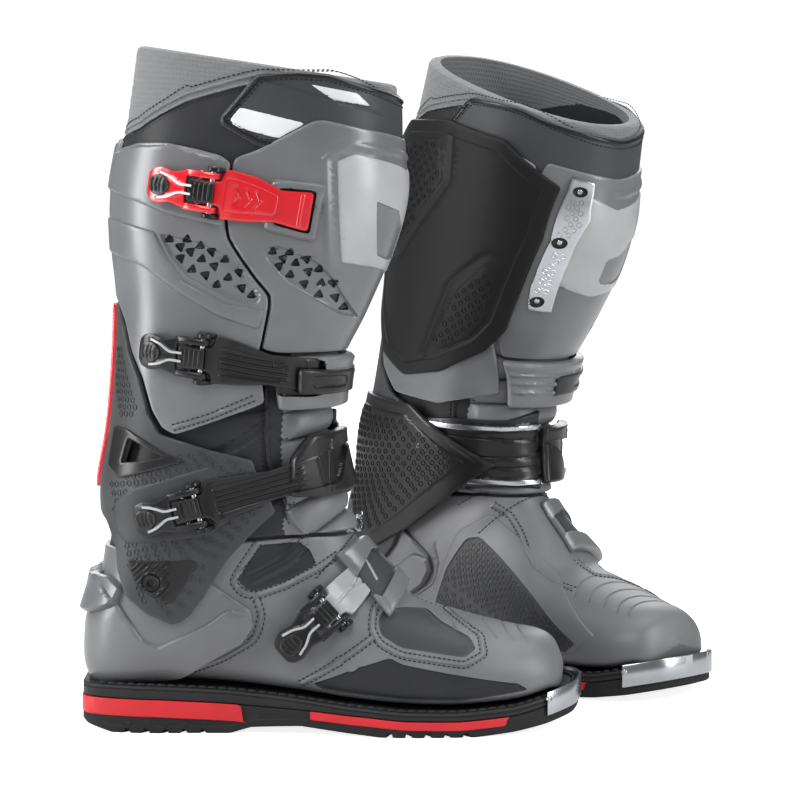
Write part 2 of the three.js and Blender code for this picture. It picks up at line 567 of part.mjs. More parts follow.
function bootSolids() {
  const sole = soleParts();
  const frames = Object.fromEntries(Object.entries(buckles).map(([n, buckle]) => (
    [n, buckleFrame(buckle, n === '4' ? upper[1] : shell[1])]
  )));
  const boltBore = cylinder(pivotBolt.shaft + boltPlay, -far, far, [pivotX, pivotZ]);
  const sweep = footSweep();
  const outerBolt = pivotBoltOn(-1);
  const innerBolt = pivotBoltOn(1);
  const shellLayer = layer(...shell);

  const footUpper = layer(...upper).intersect(through(outlines.belowRim));
  const heelCounter = union(
    layer(...counter).intersect(through(outlines.counter)),
    spurSolid(),
  );
  const ankle = shellLayer.intersect(wrapped(outlines.ankleOuter, outlines.ankleInner));
  const calf = shellLayer.intersect(wrapped(outlines.calfOuter, outlines.calfInner));
  const shin = shellLayer.intersect(wrapped(outlines.shinOuter, outlines.shinInner));
  const ventDepth = layer(shell[0] + 1.7, 60);
  const bossRim = outerHalf(ribbon(buckles[1].strap.slice(-2), 7));
  const boss = layer(shell[0], shell[1] + catchWall / 2).intersect(bossRim).intersect(
    outerHalf(outlines.shinOuter),
  );
  const catch2 = layer(upper[1] + gap, shell[1] + catchWall).intersect(
    wrapped(outlines.catch2Outer, outlines.catch2Inner),
  );
  const catch3 = layer(shell[0], shell[1] + catchWall).intersect(outerHalf(outlines.catch3));
  const catch4 = layer(upper[1] + gap, upper[1] + catchWall + 1).intersect(outerHalf(outlines.catch4));
  const linerSolid = union(
    form(liner[1]).intersect(aboveFold(outlines.aboveAnkle)),
    form(linerPadFace).intersect(through(outlines.collar)),
  ).subtract(form(liner[0], openSlice));

  return {
    frames,
    bellows: layer(...upper).intersect(through(outlines.bellows)),
    foot: {
      outsole: [sole.outsole, 'black'],
      midsole: [sole.midsole, 'dark'],
      heel_insert: [sole.heelInsert, 'red'],
      forefoot_insert: [sole.frontInsert, 'red'],
      toe_plate: [sole.toePlate, 'steel'],
      foot_upper: [withLugs(footUpper, frames[4], upper[0]).subtract(boltBore), 'leather'],
      heel_counter: [heelCounter.subtract(boltBore), 'shell'],
      pivot_bolt_outer: [outerBolt.bolt, 'black'],
      pivot_bolt_inner: [innerBolt.bolt, 'black'],
      catch_4: [cut(catch4, ...strapWay(buckles[4], frames[4], upper[1])), 'light'],
    },
    cuff: {
      ankle_shell: [cut(
        withLugs(cut(ankle, through(outlines.window)), frames[3], shell[0]), boltBore, outerBolt.seat, ...sweep,
      ), 'leather'],
      calf_shell: [cut(
        withLugs(withLugs(calf, frames[1], shell[0]), frames[2], shell[0]),
        ventDepth.intersect(outerHalf(outlines.calfVent)),
      ), 'shell'],
      shin_plate: [cut(
        union(shin, boss),
        ventDepth.intersect(outerHalf(outlines.shinVent)),
        strapPocket(buckles[1], shell[1]),
      ), 'shell'],
      spine_strip: [layer(guard[0], guard[0] + spineWall).intersect(
        prism(graded([[-20, 152], [60, 152], [60, 266], [-20, 272]]), -spineWidth / 2, spineWidth / 2),
      ), 'red'],
      heat_guard: [layer(...guard).intersect(innerHalf(outlines.heatGuard)), 'black'],
      ankle_guard: [cut(
        layer(...guard).intersect(innerHalf(outlines.ankleGuard)), boltBore, innerBolt.seat,
      ), 'black'],
      side_plate: [layer(...guard).intersect(innerHalf(outlines.sidePlate)), 'steel'],
      liner: [linerSolid, 'dark'],
      catch_2: [cut(catch2, strapPocket(buckles[2], shell[1])), 'shell'],
      catch_3: [cut(catch3, strapPocket(buckles[3], shell[1]), ...sweep), 'dark'],
      ankle_band: [cut(layer(shell[0], shell[0] + bandWall).intersect(
        prism(graded(outlines.ankleBand), seam + gap, far),
      ), ...sweep), 'black'],
    },
  };
}

const shapes = bootSolids();
const leverShape = leverSolid();
const strapShapes = Object.fromEntries(Object.entries(buckles).map(([n, buckle]) => {
  const base = n === '4' ? upper[1] : shell[1];
  const toFrame = shapes.frames[n].clone().invert();
  return [n, moved(strapSolid(buckle, shapes.frames[n], base), toFrame)];
}));

const finishes = {
  shell: { roughness: 0.5, metalness: 0 },
  leather: { roughness: 0.65, metalness: 0 },
  dark: { roughness: 0.75, metalness: 0 },
  black: { roughness: 0.45, metalness: 0 },
  light: { roughness: 0.45, metalness: 0 },
  red: { roughness: 0.35, metalness: 0 },
  steel: { roughness: 0.35, metalness: 0.9 },
};
const material = (name) => new THREE.MeshStandardMaterial({ color: colours[name], ...finishes[name] });

const flipY = new THREE.Matrix4().makeScale(1, -1, 1);

// the left boot is the right one mirrored; a mirrored frame keeps its own handedness
function piece(name, solid, colour, mirrored, frame = new THREE.Matrix4()) {
  const shape = mirrored ? moved(solid, flipY) : solid;
  const mesh = new THREE.Mesh(toGeometry(shape), material(colour));
  const placed = mirrored ? flipY.clone().multiply(frame).multiply(flipY) : frame;
  placed.decompose(mesh.position, mesh.quaternion, mesh.scale);
  mesh.name = name;
  return mesh;
}

// the bellows between foot and cuff bend gradually as the cuff leans
function bent(geometry, flex) {
  const at = geometry.getAttribute('position');
  const point = new THREE.Vector3();
  const pivot = new THREE.Vector3(pivotX, 0, pivotZ);
  const axis = new THREE.Vector3(0, 1, 0);
  for (let i = 0; i < at.count; i++) {
    point.fromBufferAttribute(at, i);
    const share = THREE.MathUtils.smoothstep(point.z, gradeZ(foldStart), gradeZ(foldStart) + gradeX(foldSpan));
    point.sub(pivot).applyAxisAngle(axis, THREE.MathUtils.degToRad(flex * share)).add(pivot);
    at.setXYZ(i, point.x, point.y, point.z);
  }
  return geometry;
}

function makeBoot(side, flex) {
  const mirrored = side === 'left';
  const boot = new THREE.Group();
  const cuff = new THREE.Group();
  cuff.position.set(pivotX, 0, pivotZ);
  cuff.rotation.y = THREE.MathUtils.degToRad(flex);
  boot.add(cuff);
  const fromPivot = new THREE.Matrix4().makeTranslation(-pivotX, 0, -pivotZ);
  for (const [name, [solid, colour]] of Object.entries(shapes.foot)) {
    boot.add(piece(`${side}_${name}`, solid, colour, mirrored));
  }
  for (const [name, [solid, colour]] of Object.entries(shapes.cuff)) {
    cuff.add(piece(`${side}_${name}`, moved(solid, fromPivot), colour, mirrored));
  }
  const bellows = piece(`${side}_bellows`, shapes.bellows, 'leather', mirrored);
  bent(bellows.geometry, flex);
  boot.add(bellows);
  for (const [n, strap] of Object.entries(strapShapes)) {
    const onFoot = n === '4';
    const frame = onFoot ? shapes.frames[n] : fromPivot.clone().multiply(shapes.frames[n]);
    const eyeFrame = frame.clone().multiply(new THREE.Matrix4().makeTranslation(-lever.eye, 0, 0));
    const fromEye = new THREE.Matrix4().makeTranslation(lever.eye, 0, 0);
    const home = onFoot ? boot : cuff;
    const strapColour = { 1: 'red', 4: 'light' }[n] ?? 'black';
    home.add(piece(`${side}_lever_${n}`, leverShape, n === '1' ? 'red' : 'black', mirrored, frame));
    home.add(piece(`${side}_strap_${n}`, moved(strap, fromEye), strapColour, mirrored, eyeFrame));
  }
  return boot;
}

const pair = new THREE.Group();
const right = makeBoot('right', 0);
const left = makeBoot('left', leftBoot.flex);
left.position.set(leftBoot.x, leftBoot.y, 0);
left.rotation.z = THREE.MathUtils.degToRad(leftBoot.turn);
pair.add(right, left);
pair.updateMatrixWorld(true);

// the pair's origin is on the ground, in the middle of its box
const box = new THREE.Box3().setFromObject(pair, true);
pair.position.set(-(box.min.x + box.max.x) / 2, -(box.min.y + box.max.y) / 2, -box.min.z);

export default pair;
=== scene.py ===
# A pair of off-road riding boots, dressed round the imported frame.
# Both boots are drawn once as a right boot in millimetres: x heel to toe, y to the inner side, z up.
import json
import math

import bmesh
import bpy
import numpy as np
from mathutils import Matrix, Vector
from mathutils.geometry import delaunay_2d_cdt


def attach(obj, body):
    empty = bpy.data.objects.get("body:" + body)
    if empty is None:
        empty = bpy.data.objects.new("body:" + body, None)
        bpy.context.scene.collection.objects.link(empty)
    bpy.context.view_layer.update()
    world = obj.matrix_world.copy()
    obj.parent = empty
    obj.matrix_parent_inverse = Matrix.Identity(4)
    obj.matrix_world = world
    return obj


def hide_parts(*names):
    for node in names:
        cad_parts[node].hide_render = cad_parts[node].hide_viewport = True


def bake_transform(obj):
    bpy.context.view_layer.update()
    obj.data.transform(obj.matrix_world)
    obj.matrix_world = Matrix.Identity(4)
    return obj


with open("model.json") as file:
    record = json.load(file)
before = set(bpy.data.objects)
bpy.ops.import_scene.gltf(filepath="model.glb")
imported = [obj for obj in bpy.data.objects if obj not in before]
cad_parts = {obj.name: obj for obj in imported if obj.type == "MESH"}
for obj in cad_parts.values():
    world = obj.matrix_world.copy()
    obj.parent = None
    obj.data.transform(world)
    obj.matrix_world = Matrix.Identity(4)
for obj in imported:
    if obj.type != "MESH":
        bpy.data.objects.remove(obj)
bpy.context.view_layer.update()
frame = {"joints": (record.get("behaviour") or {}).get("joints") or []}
joints = {joint["name"]: joint for joint in frame["joints"]}
scene = bpy.context.scene
print("frame loaded")

bootForm = {
    "pivot": np.array([47.6, 0.0, 97.0]),
    "foldLow": 124.0,  # the bellows bend between these heights
    "foldHigh": 148.0,
    "chartPerRadian": 52.0,
    # back x and z, front x and z, half width, where it is widest, lower and upper roundness, inward shift
    "slices": np.array([
        (309.5, 38, 309.5, 38, 0, 0.3, 4.5, 2.1, 6),
        (306, 25.5, 303, 53, 26, 0.3, 4.5, 2.1, 6),
        (296, 23, 292, 60, 38, 0.3, 4.5, 2.1, 5.5),
        (275, 18.5, 272, 64, 48, 0.3, 4.5, 2.1, 4.5),
        (240, 16, 242, 72, 54, 0.3, 4.5, 2.1, 2.5),
        (205, 16.5, 213, 82, 53, 0.3, 4.5, 2.1, 1),
        (170, 19.5, 197, 97, 48, 0.3, 4.5, 2.1, 0),
        (135, 24, 184, 110, 43, 0.32, 4.2, 2.1, 0),
        (95, 28, 176, 120, 41, 0.36, 3.6, 2.15, 0),
        (48, 30.5, 172, 129, 42, 0.42, 3, 2.2, 0),
        (9, 32, 169, 138, 42, 0.45, 2.8, 2.2, 0),
        (4, 62, 166, 147, 43, 0.46, 2.6, 2.2, 0),
        (11.5, 92, 163, 156, 44, 0.48, 2.5, 2.25, 0),
        (16.5, 125, 160, 168, 45, 0.5, 2.4, 2.3, 0),
        (16.5, 155, 157, 184, 47, 0.5, 2.3, 2.3, 0),
        (22.5, 190, 157, 206, 48, 0.5, 2.3, 2.3, 0),
        (26.5, 230, 161, 236, 50.5, 0.5, 2.3, 2.3, 0),
        (28, 270, 176.5, 268, 53.5, 0.5, 2.3, 2.3, 0),
        (24.5, 310, 193.5, 308, 56, 0.5, 2.3, 2.3, 0),
        (24.5, 340, 201.5, 340, 57, 0.5, 2.3, 2.3, 0),
        (29.5, 370, 200.5, 368, 57, 0.5, 2.3, 2.3, 0),
        (34, 400, 200, 396, 56.5, 0.5, 2.3, 2.3, 0),
        (38.5, 433, 198.5, 409, 56, 0.5, 2.3, 2.3, 0),
        (40, 455, 198, 430, 55.5, 0.5, 2.3, 2.3, 0),
    ], float),
}


# where a boot stands comes from its ankle hinge: the pivot, the way it points,
# and how far the cuff leans at rest
def bootStance(side):
    hinge = joints[f"{side}_cuff_flex"]
    axis = hinge["axis"]
    turn = math.atan2(-axis[0], axis[1])
    lean = joints["right_cuff_flex"]["range_deg"][0] - hinge["range_deg"][0]
    cosT, sinT = math.cos(turn), math.sin(turn)
    spin = np.array([[cosT, -sinT, 0], [sinT, cosT, 0], [0, 0, 1]])
    origin = np.array(hinge["pos_m"]) * 1000 - spin @ bootForm["pivot"]
    return {"spin": spin, "origin": origin, "lean": math.radians(lean), "mirror": side == "left"}


stances = {side: bootStance(side) for side in ("right", "left")}


def toWorld(points, side, part):
    stance = stances[side]
    p = np.array(points, float).reshape(-1, 3)
    if stance["mirror"]:
        p = p * np.array([1, -1, 1])
    low, high = bootForm["foldLow"], bootForm["foldHigh"]
    t = np.clip((p[:, 2] - low) / (high - low), 0, 1)
    share = {"foot": 0 * t, "cuff": 0 * t + 1, "fold": t * t * (3 - 2 * t)}[part]
    angle = stance["lean"] * share
    d = p - bootForm["pivot"]
    x = d[:, 0] * np.cos(angle) + d[:, 2] * np.sin(angle)
    z = -d[:, 0] * np.sin(angle) + d[:, 2] * np.cos(angle)
    p = np.stack([x, d[:, 1], z], -1) + bootForm["pivot"]
    return (p @ stance["spin"].T + stance["origin"]) / 1000


def sliceAt(v):
    rows = bootForm["slices"]
    last = len(rows) - 1
    v = np.clip(v, 0, last - 1e-9)
    i = np.floor(v).astype(int)
    f = (v - i)[..., None]
    p1, p2 = rows[i], rows[i + 1]
    p0 = np.where((i == 0)[..., None], 2 * p1 - p2, rows[np.maximum(i - 1, 0)])
    p3 = np.where((i + 2 > last)[..., None], 2 * p2 - p1, rows[np.minimum(i + 2, last)])
    bend = (2 * p0 - 5 * p1 + 4 * p2 - p3) * f * f + (3 * p1 - p0 - 3 * p2 + p3) * f ** 3
    return 0.5 * (2 * p1 + (p2 - p0) * f + bend)


# angle 0 is the front of a slice, -pi/2 its outer side, +pi/2 its inner side
def skin(v, a):
    s = sliceAt(v)
    c, sn = np.cos(a), np.sin(a)
    power = np.where(c > 0, 2 / s[..., 7], 2 / s[..., 6])
    reach = np.abs(c) ** power
    t = np.where(c > 0, s[..., 5] + (1 - s[..., 5]) * reach, s[..., 5] * (1 - reach))
    y = s[..., 8] + s[..., 4] * np.sign(sn) * np.abs(sn) ** power
    x = s[..., 0] + (s[..., 2] - s[..., 0]) * t
    z = s[..., 1] + (s[..., 3] - s[..., 1]) * t
    return np.stack([x, y, z], -1)


def unit(vectors):
    return vectors / (np.linalg.norm(vectors, axis=-1, keepdims=True) + 1e-12)


def skinNormal(v, a):
    step = 0.01
    last = len(bootForm["slices"]) - 1
    dv = skin(np.minimum(v + step, last), a) - skin(np.maximum(v - step, 0), a)
    da = skin(v, a + step) - skin(v, a - step)
    return np.where((v <= 0.001)[..., None], np.array([1.0, 0, 0]), unit(np.cross(da, dv)))


# the chart is the form's skin laid out flat, about a millimetre to a millimetre
def chartHeights():
    v = np.arange(len(bootForm["slices"]), dtype=float)
    a = np.linspace(0, math.pi, 13)
    ring = skin(*np.meshgrid(v, a, indexing="ij"))
    step = np.linalg.norm(np.diff(ring, axis=0), axis=2).mean(1)
    return np.concatenate([[0], np.cumsum(step)])


heightOfSlice = chartHeights()


def toChart(v, a):
    w = np.interp(v, np.arange(len(heightOfSlice)), heightOfSlice)
    return np.stack([np.asarray(a, float) * bootForm["chartPerRadian"], w], -1)


def fromChart(chart):
    v = np.interp(chart[..., 1], heightOfSlice, np.arange(len(heightOfSlice)))
    return v, chart[..., 0] / bootForm["chartPerRadian"]


def formSurface(chart):
    v, a = fromChart(chart)
    return skin(v, a), skinNormal(v, a)


gridV, gridA = np.meshgrid(np.arange(0.3, 22.4, 0.25), np.arange(0.04, 3.12, 0.06), indexing="ij")
gridXZ = skin(gridV, gridA)[..., [0, 2]].reshape(-1, 2)


# slice and angle of the skin points that a side view shows at x, z
def locate(points, side):
    points = np.array(points, float).reshape(-1, 2)
    far = ((points[:, None] - gridXZ[None]) ** 2).sum(2)
    k = far.argmin(1)
    v, a = gridV.ravel()[k].copy(), gridA.ravel()[k].copy()
    step = 1e-3
    for _ in range(10):
        p = skin(v, a)[:, [0, 2]]
        dv = (skin(v + step, a)[:, [0, 2]] - p) / step
        da = (skin(v, a + step)[:, [0, 2]] - p) / step
        det = dv[:, 0] * da[:, 1] - da[:, 0] * dv[:, 1]
        det = np.where(np.abs(det) < 1, np.where(det < 0, -1, 1), det)
        off = points - p
        v += np.clip((off[:, 0] * da[:, 1] - off[:, 1] * da[:, 0]) / det, -0.3, 0.3)
        a += np.clip((off[:, 1] * dv[:, 0] - off[:, 0] * dv[:, 1]) / det, -0.1, 0.1)
        v, a = np.clip(v, 0.05, 22.9), np.clip(a, 0.0, math.pi)
    return v, side * a


def sliceAtHeight(z, angle):
    v = np.linspace(0.5, 23, 900)
    heights = skin(v, np.full(len(v), float(angle)))[:, 2]
    start = 300 if abs(angle) > 1.6 else 0  # the back line rises only past the heel
    return np.interp(z, heights[start:], v[start:])


# a path over the skin: points are (x, z) in side view, or ("front", z) and ("back", z) on the centre lines
def trace(points, side, throughBack=False, spacing=1.5):
    path = []
    spots = []
    for point in points:
        if point[0] == "front":
            spots.append(toChart(sliceAtHeight(point[1], 0), 0.0))
        elif point[0] == "back":
            spots.append(toChart(sliceAtHeight(point[1], math.pi), side * math.pi))
        else:
            v, a = locate([point], side)
            spots.append(toChart(v, a)[0])
    for i in range(len(points) - 1):
        length = np.linalg.norm(spots[i + 1] - spots[i])
        count = max(int(length / spacing), 1)
        t = (np.arange(count) / count)[:, None]
        if isinstance(points[i][0], str) or isinstance(points[i + 1][0], str):
            path.append(spots[i] + (spots[i + 1] - spots[i]) * t)
        else:
            a, b = np.array(points[i], float), np.array(points[i + 1], float)
            path.append(toChart(*locate(a + (b - a) * t, side)))
    path.append(spots[-1][None])
    path = np.concatenate(path)
    if throughBack and side > 0:
        path[:, 0] -= 2 * math.pi * bootForm["chartPerRadian"]
    return path


def soften(path, times=2, closed=True):
    path = path.copy()
    for _ in range(times):
        mean = (np.roll(path, 1, 0) + 2 * path + np.roll(path, -1, 0)) / 4
        if not closed:
            mean[0], mean[-1] = path[0], path[-1]
        path = mean
    return path


def softTrace(points, side, times):
    return soften(trace(points, side), times, closed=False)


def turnedLeft(loop):
    area = (loop[:, 0] * np.roll(loop[:, 1], -1) - np.roll(loop[:, 0], -1) * loop[:, 1]).sum()
    return loop if area > 0 else loop[::-1]


def closedTrace(points, side, times=2, throughBack=False):
    return turnedLeft(soften(trace([*points, points[0]], side, throughBack)[:-1], times))


# an outline that wraps the front or the back: its outer half and its inner half, each from centre to centre
def wrapTrace(outer, inner, throughBack=False, times=2):
    first = trace(outer, -1, throughBack)
    second = trace(inner, 1, throughBack)[::-1]
    loop = np.concatenate([first[:-1], second[:-1]])
    return turnedLeft(soften(loop, times))


def insideOf(points, loop):
    x, y = points[:, 0], points[:, 1]
    hit = np.zeros(len(points), bool)
    for (x0, y0), (x1, y1) in zip(loop, np.roll(loop, -1, 0)):
        if y0 != y1:
            hit ^= ((y0 > y) != (y1 > y)) & (x < (x1 - x0) * (y - y0) / (y1 - y0) + x0)
    return hit


def awayFrom(points, path, reach=12.0):
    away = np.full(len(points), 1000.0)
    near = np.all((points > path.min(0) - reach) & (points < path.max(0) + reach), 1)
    p = points[near]
    best = np.full(len(p), 1e6)
    for a, b in zip(path[:-1], path[1:]):
        ab = b - a
        t = np.clip(((p - a) @ ab) / max(ab @ ab, 1e-9), 0, 1)
        best = np.minimum(best, ((p - a - t[:, None] * ab) ** 2).sum(1))
    away[near] = np.sqrt(best)
    return away


# points beside a path, a true distance off it to the left, laid on the surface
def besidePath(surface, path, distance, closed):
    p, n = surface(path)
    if closed:
        ahead = np.roll(p, -1, 0) - np.roll(p, 1, 0)
    else:
        ahead = np.gradient(p, axis=0)
    left = unit(np.cross(n, ahead))
    eps = 0.05
    du = (surface(path + [eps, 0])[0] - p) / eps
    dw = (surface(path + [0, eps])[0] - p) / eps
    uu, ww, uw = (du * du).sum(1), (dw * dw).sum(1), (du * dw).sum(1)
    lu, lw = (left * du).sum(1), (left * dw).sum(1)
    det = np.maximum(uu * ww - uw * uw, 1e-6)
    step = np.stack([(lu * ww - lw * uw) / det, (lw * uu - lu * uw) / det], -1)
    size = np.linalg.norm(step, axis=1, keepdims=True)
    return path + step / np.maximum(size / 6, 1) * distance


# shapes that stand on a sheet: each has a path or outline, and a height over distance
def ridge(path, width, height, closed=False, tint=None):
    return {"kind": "ridge", "path": path, "width": width, "height": height, "closed": closed, "tint": tint}


def plateau(loop, height, slope=0.8, tint=None):
    return {"kind": "plateau", "path": loop, "width": slope, "height": height, "closed": True, "tint": tint}


def closeLoop(path):
    return np.concatenate([path, path[:1]])


def markHeight(mark, chart, points, surface):
    path = closeLoop(mark["path"]) if mark["closed"] else mark["path"]
    away = awayFrom(points, surface(path)[0], mark["width"] + 3)
    x = np.clip(away / mark["width"], 0, 1)
    if mark["kind"] == "ridge":
        return mark["height"] * np.sqrt(1 - x * x)
    inside = insideOf(chart, mark["path"])
    return mark["height"] * inside * x * (2 - x)


# A closed piece with a shaped outer face: its outline, what stands on it, and its wall, laid on a surface.
# A loop may have a seam, where a ring closes on itself.
def makeSheet(surface, loops, base, wall, marks=(), pitch=2.3, rounding=1.1, extra=None, seam=None):
    outline = loops[0]
    special = []
    for k, loop in enumerate(loops):
        for distance in (0.45 * rounding, rounding, rounding * 1.9):
            special.append(besidePath(surface, loop, distance if k == 0 else -distance, True))
    for mark in marks:
        offsets = (0, mark["width"] * 0.5, mark["width"])
        for offset in offsets:
            special.append(besidePath(surface, mark["path"], offset, mark["closed"]))
            if mark["kind"] != "plateau" or offset:
                sign = -1 if mark["kind"] != "plateau" else -0.3
                special.append(besidePath(surface, mark["path"], offset * sign, mark["closed"]))
    edges3 = []
    for loop in loops:
        path = closeLoop(loop)
        if seam:
            onSeam = np.abs(np.abs(path[:, 0] - seam[0]) - seam[1]) < 1e-3
            run = []
            for i, skip in enumerate(onSeam):
                if not skip or (i and not onSeam[i - 1]) or (i + 1 < len(path) and not onSeam[i + 1]):
                    run.append(path[i])
                if skip and len(run) > 1 and i and not onSeam[i - 1]:
                    edges3.append(surface(np.array(run))[0])
                    run = []
            if len(run) > 1:
                edges3.append(surface(np.array(run))[0])
        else:
            edges3.append(surface(path)[0])

    low, high = outline.min(0), outline.max(0)
    lines = np.arange(low[1] + pitch * 0.4, high[1], pitch * 0.87)
    grid = [np.stack([np.arange(low[0] + (k % 2) * pitch / 2, high[0], pitch), 0 * np.arange(
        low[0] + (k % 2) * pitch / 2, high[0], pitch) + w], -1) for k, w in enumerate(lines)]
    grid = np.concatenate(grid)

    def keepInside(points, clearance):
        ok = insideOf(points, outline)
        for hole in loops[1:]:
            ok &= ~insideOf(points, hole)
        points = points[ok]
        p = surface(points)[0]
        away = np.min([awayFrom(p, e, clearance + 2) for e in edges3], 0)
        if seam:
            nearSeam = seam[1] - np.abs(points[:, 0] - seam[0])
            away = np.minimum(away, nearSeam * 1.0)
        return points[away > clearance]

    special = keepInside(np.concatenate(special), 0.3 * rounding)
    cell = 0.42
    keys = np.unique(np.round(special / cell).astype(int), axis=0, return_index=True)[1]
    special = special[keys]
    taken = set(map(tuple, np.floor(special / (pitch * 0.55)).astype(int)))
    grid = keepInside(grid, rounding * 1.2)
    free = [tuple(k) not in taken for k in np.floor(grid / (pitch * 0.55)).astype(int)]
    grid = grid[np.array(free, bool)]

    flat, links = [], []
    for loop in loops:
        start = len(flat)
        flat += [Vector(p) for p in loop]
        links += [(start + i, start + (i + 1) % len(loop)) for i in range(len(loop))]
    flat += [Vector(p) for p in np.concatenate([special, grid])]
    out = delaunay_2d_cdt(flat, links, [], 0, 1e-4)
    chart = np.array([tuple(p) for p in out[0]])
    faces = np.array([f for f in out[2] if len(f) == 3])
    centres = chart[faces].mean(1)
    keep = insideOf(centres, outline)
    for hole in loops[1:]:
        keep &= ~insideOf(centres, hole)
    faces, centres = faces[keep], centres[keep]
    turn = np.cross(chart[faces[:, 1]] - chart[faces[:, 0]], chart[faces[:, 2]] - chart[faces[:, 0]])
    faces[turn < 0] = faces[turn < 0][:, ::-1]

    used = np.unique(faces)
    renumber = np.full(len(chart), -1)
    renumber[used] = np.arange(len(used))
    chart, faces = chart[used], renumber[faces]
    points, normals = surface(chart)
    edge = np.min([awayFrom(points, e, rounding + 4) for e in edges3], 0)
    lip = np.clip(edge / rounding, 0, 1)
    height = np.minimum(rounding, wall * 0.8) * (np.sqrt(1 - (1 - lip) ** 2) - 1)
    for mark in marks:
        height = height + markHeight(mark, chart, points, surface)
    if extra is not None:
        height = height + extra(chart, points, edge)
    tint = np.zeros(len(faces), int)
    for mark in marks:
        if mark.get("tint") and mark["kind"] == "ridge":
            path = closeLoop(mark["path"]) if mark["closed"] else mark["path"]
            tint[awayFrom(surface(centres)[0], surface(path)[0]) < mark["width"]] = mark["tint"]
        elif mark.get("tint"):
            tint[insideOf(centres, mark["path"])] = mark["tint"]

    outer = points + normals * (base + np.maximum(height, 0.25 - wall))[:, None]
    inner = points + normals * (base - wall)
    count = len(points)
    sides = {}
    for tri in faces:
        for i in range(3):
            a, b = int(tri[i]), int(tri[(i + 1) % 3])
            sides[(a, b)] = sides.get((a, b), 0) + 1
    walls = []
    for a, b in sides:
        if (b, a) not in sides:
            if seam and np.all(np.abs(np.abs(chart[[a, b], 0] - seam[0]) - seam[1]) < 1e-3):
                continue
            walls += [(b, a, a + count), (b, a + count, b + count)]
    everyFace = np.concatenate([faces, faces[:, ::-1] + count, np.array(walls, int).reshape(-1, 3)])
    tints = np.concatenate([tint, np.zeros(len(faces) + len(walls), int)])
    rim = np.clip(1 - edge / 2.2, 0, 1)
    return {
        "points": np.concatenate([outer, inner]), "faces": everyFace, "tints": tints,
        "rim": np.concatenate([rim, 0 * rim]), "flat": np.concatenate([chart, chart]),
    }


def joinShapes(*shapes):
    total = {key: [] for key in ("points", "faces", "tints", "rim", "flat")}
    count = 0
    for shape in shapes:
        for key in total:
            total[key].append(shape[key] + count if key == "faces" else shape[key])
        count += len(shape["points"])
    return {key: np.concatenate(parts) for key, parts in total.items()}


def plainShape(points, faces, tint=0):
    points = np.array(points, float)
    split = []
    for face in faces:
        split += [(face[0], face[i], face[i + 1]) for i in range(1, len(face) - 1)]
    return {
        "points": points, "faces": np.array(split), "tints": np.full(len(split), tint),
        "rim": np.zeros(len(points)), "flat": np.stack([points[:, 0], points[:, 2]], -1),
    }


def meshObject(name, points, faces, tints=None, rim=None, flat=None, materials=(), sharp=38, flip=False):
    mesh = bpy.data.meshes.new(name)
    faces = faces[:, ::-1] if flip else faces
    mesh.from_pydata(points.tolist(), [], faces.tolist())
    for material in materials:
        mesh.materials.append(material)
    if tints is not None:
        mesh.polygons.foreach_set("material_index", tints.astype(np.int32))
    if rim is not None:
        mesh.attributes.new("rim", "FLOAT", "POINT").data.foreach_set("value", rim.astype(np.float32))
    if flat is not None:
        layer = mesh.uv_layers.new(name="lay")
        corner = np.zeros(len(mesh.loops), np.int32)
        mesh.loops.foreach_get("vertex_index", corner)
        layer.data.foreach_set("uv", (flat[corner] / 1000).astype(np.float32).ravel())
    work = bmesh.new()
    work.from_mesh(mesh)
    bmesh.ops.remove_doubles(work, verts=work.verts, dist=2e-6)
    bmesh.ops.dissolve_degenerate(work, edges=work.edges, dist=1e-7)
    work.to_mesh(mesh)
    work.free()
    mesh.shade_smooth()
    mesh.set_sharp_from_angle(angle=math.radians(sharp))
    obj = bpy.data.objects.new(name, mesh)
    scene.collection.objects.link(obj)
    return obj


# the same shape on both boots, riding on a body of each; part says how it is carried at rest
def addPair(name, shape, materials, body, part, replaced=(), sharp=38):
    for side in ("right", "left"):
        points = toWorld(shape["points"], side, part)
        obj = meshObject(
            f"{side}_{name}_look", points, shape["faces"], shape["tints"], shape["rim"], shape["flat"],
            materials, sharp, flip=side == "left",
        )
        finishPair(obj, side, body, part, replaced)


def finishPair(obj, side, body, part, replaced=()):
    if part == "fold":
        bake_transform(obj)
    else:
        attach(obj, f"{side}_{body}")
    if replaced:
        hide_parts(*[f"{side}_{node}" for node in replaced])


cameraSetup = {
    "place": (202.5, -2000.0, 403.0),  # from the right boot's heel, on the ground
    "aim": (202.5, 0.0, 208.0),
    "lens": 141.5,
}


def addCamera():
    origin = stances["right"]["origin"]
    place = Vector((np.array(cameraSetup["place"]) + origin) / 1000)
    aim = Vector((np.array(cameraSetup["aim"]) + origin) / 1000)
    data = bpy.data.cameras.new("camera")
    data.lens = cameraSetup["lens"]
    data.sensor_width = 36
    camera = bpy.data.objects.new("camera", data)
    camera.location = place
    camera.rotation_euler = (aim - place).to_track_quat("-Z", "Y").to_euler()
    scene.collection.objects.link(camera)
    scene.camera = camera


addCamera()
print("form and camera ready")


def linkAll(tree, *pairs):
    for source, target in pairs:
        tree.links.new(source, target)


def newNode(tree, kind, **settings):
    node = tree.nodes.new(kind)
    for key, value in settings.items():
        setattr(node, key, value)
    return node


def mathNode(tree, operation, first, second=None, clamp=False):
    node = newNode(tree, "ShaderNodeMath", operation=operation, use_clamp=clamp)
    for socket, value in zip(node.inputs, (first, second)):
        if isinstance(value, (int, float)):
            socket.default_value = value
        elif value is not None:
            tree.links.new(value, socket)
    return node.outputs[0]


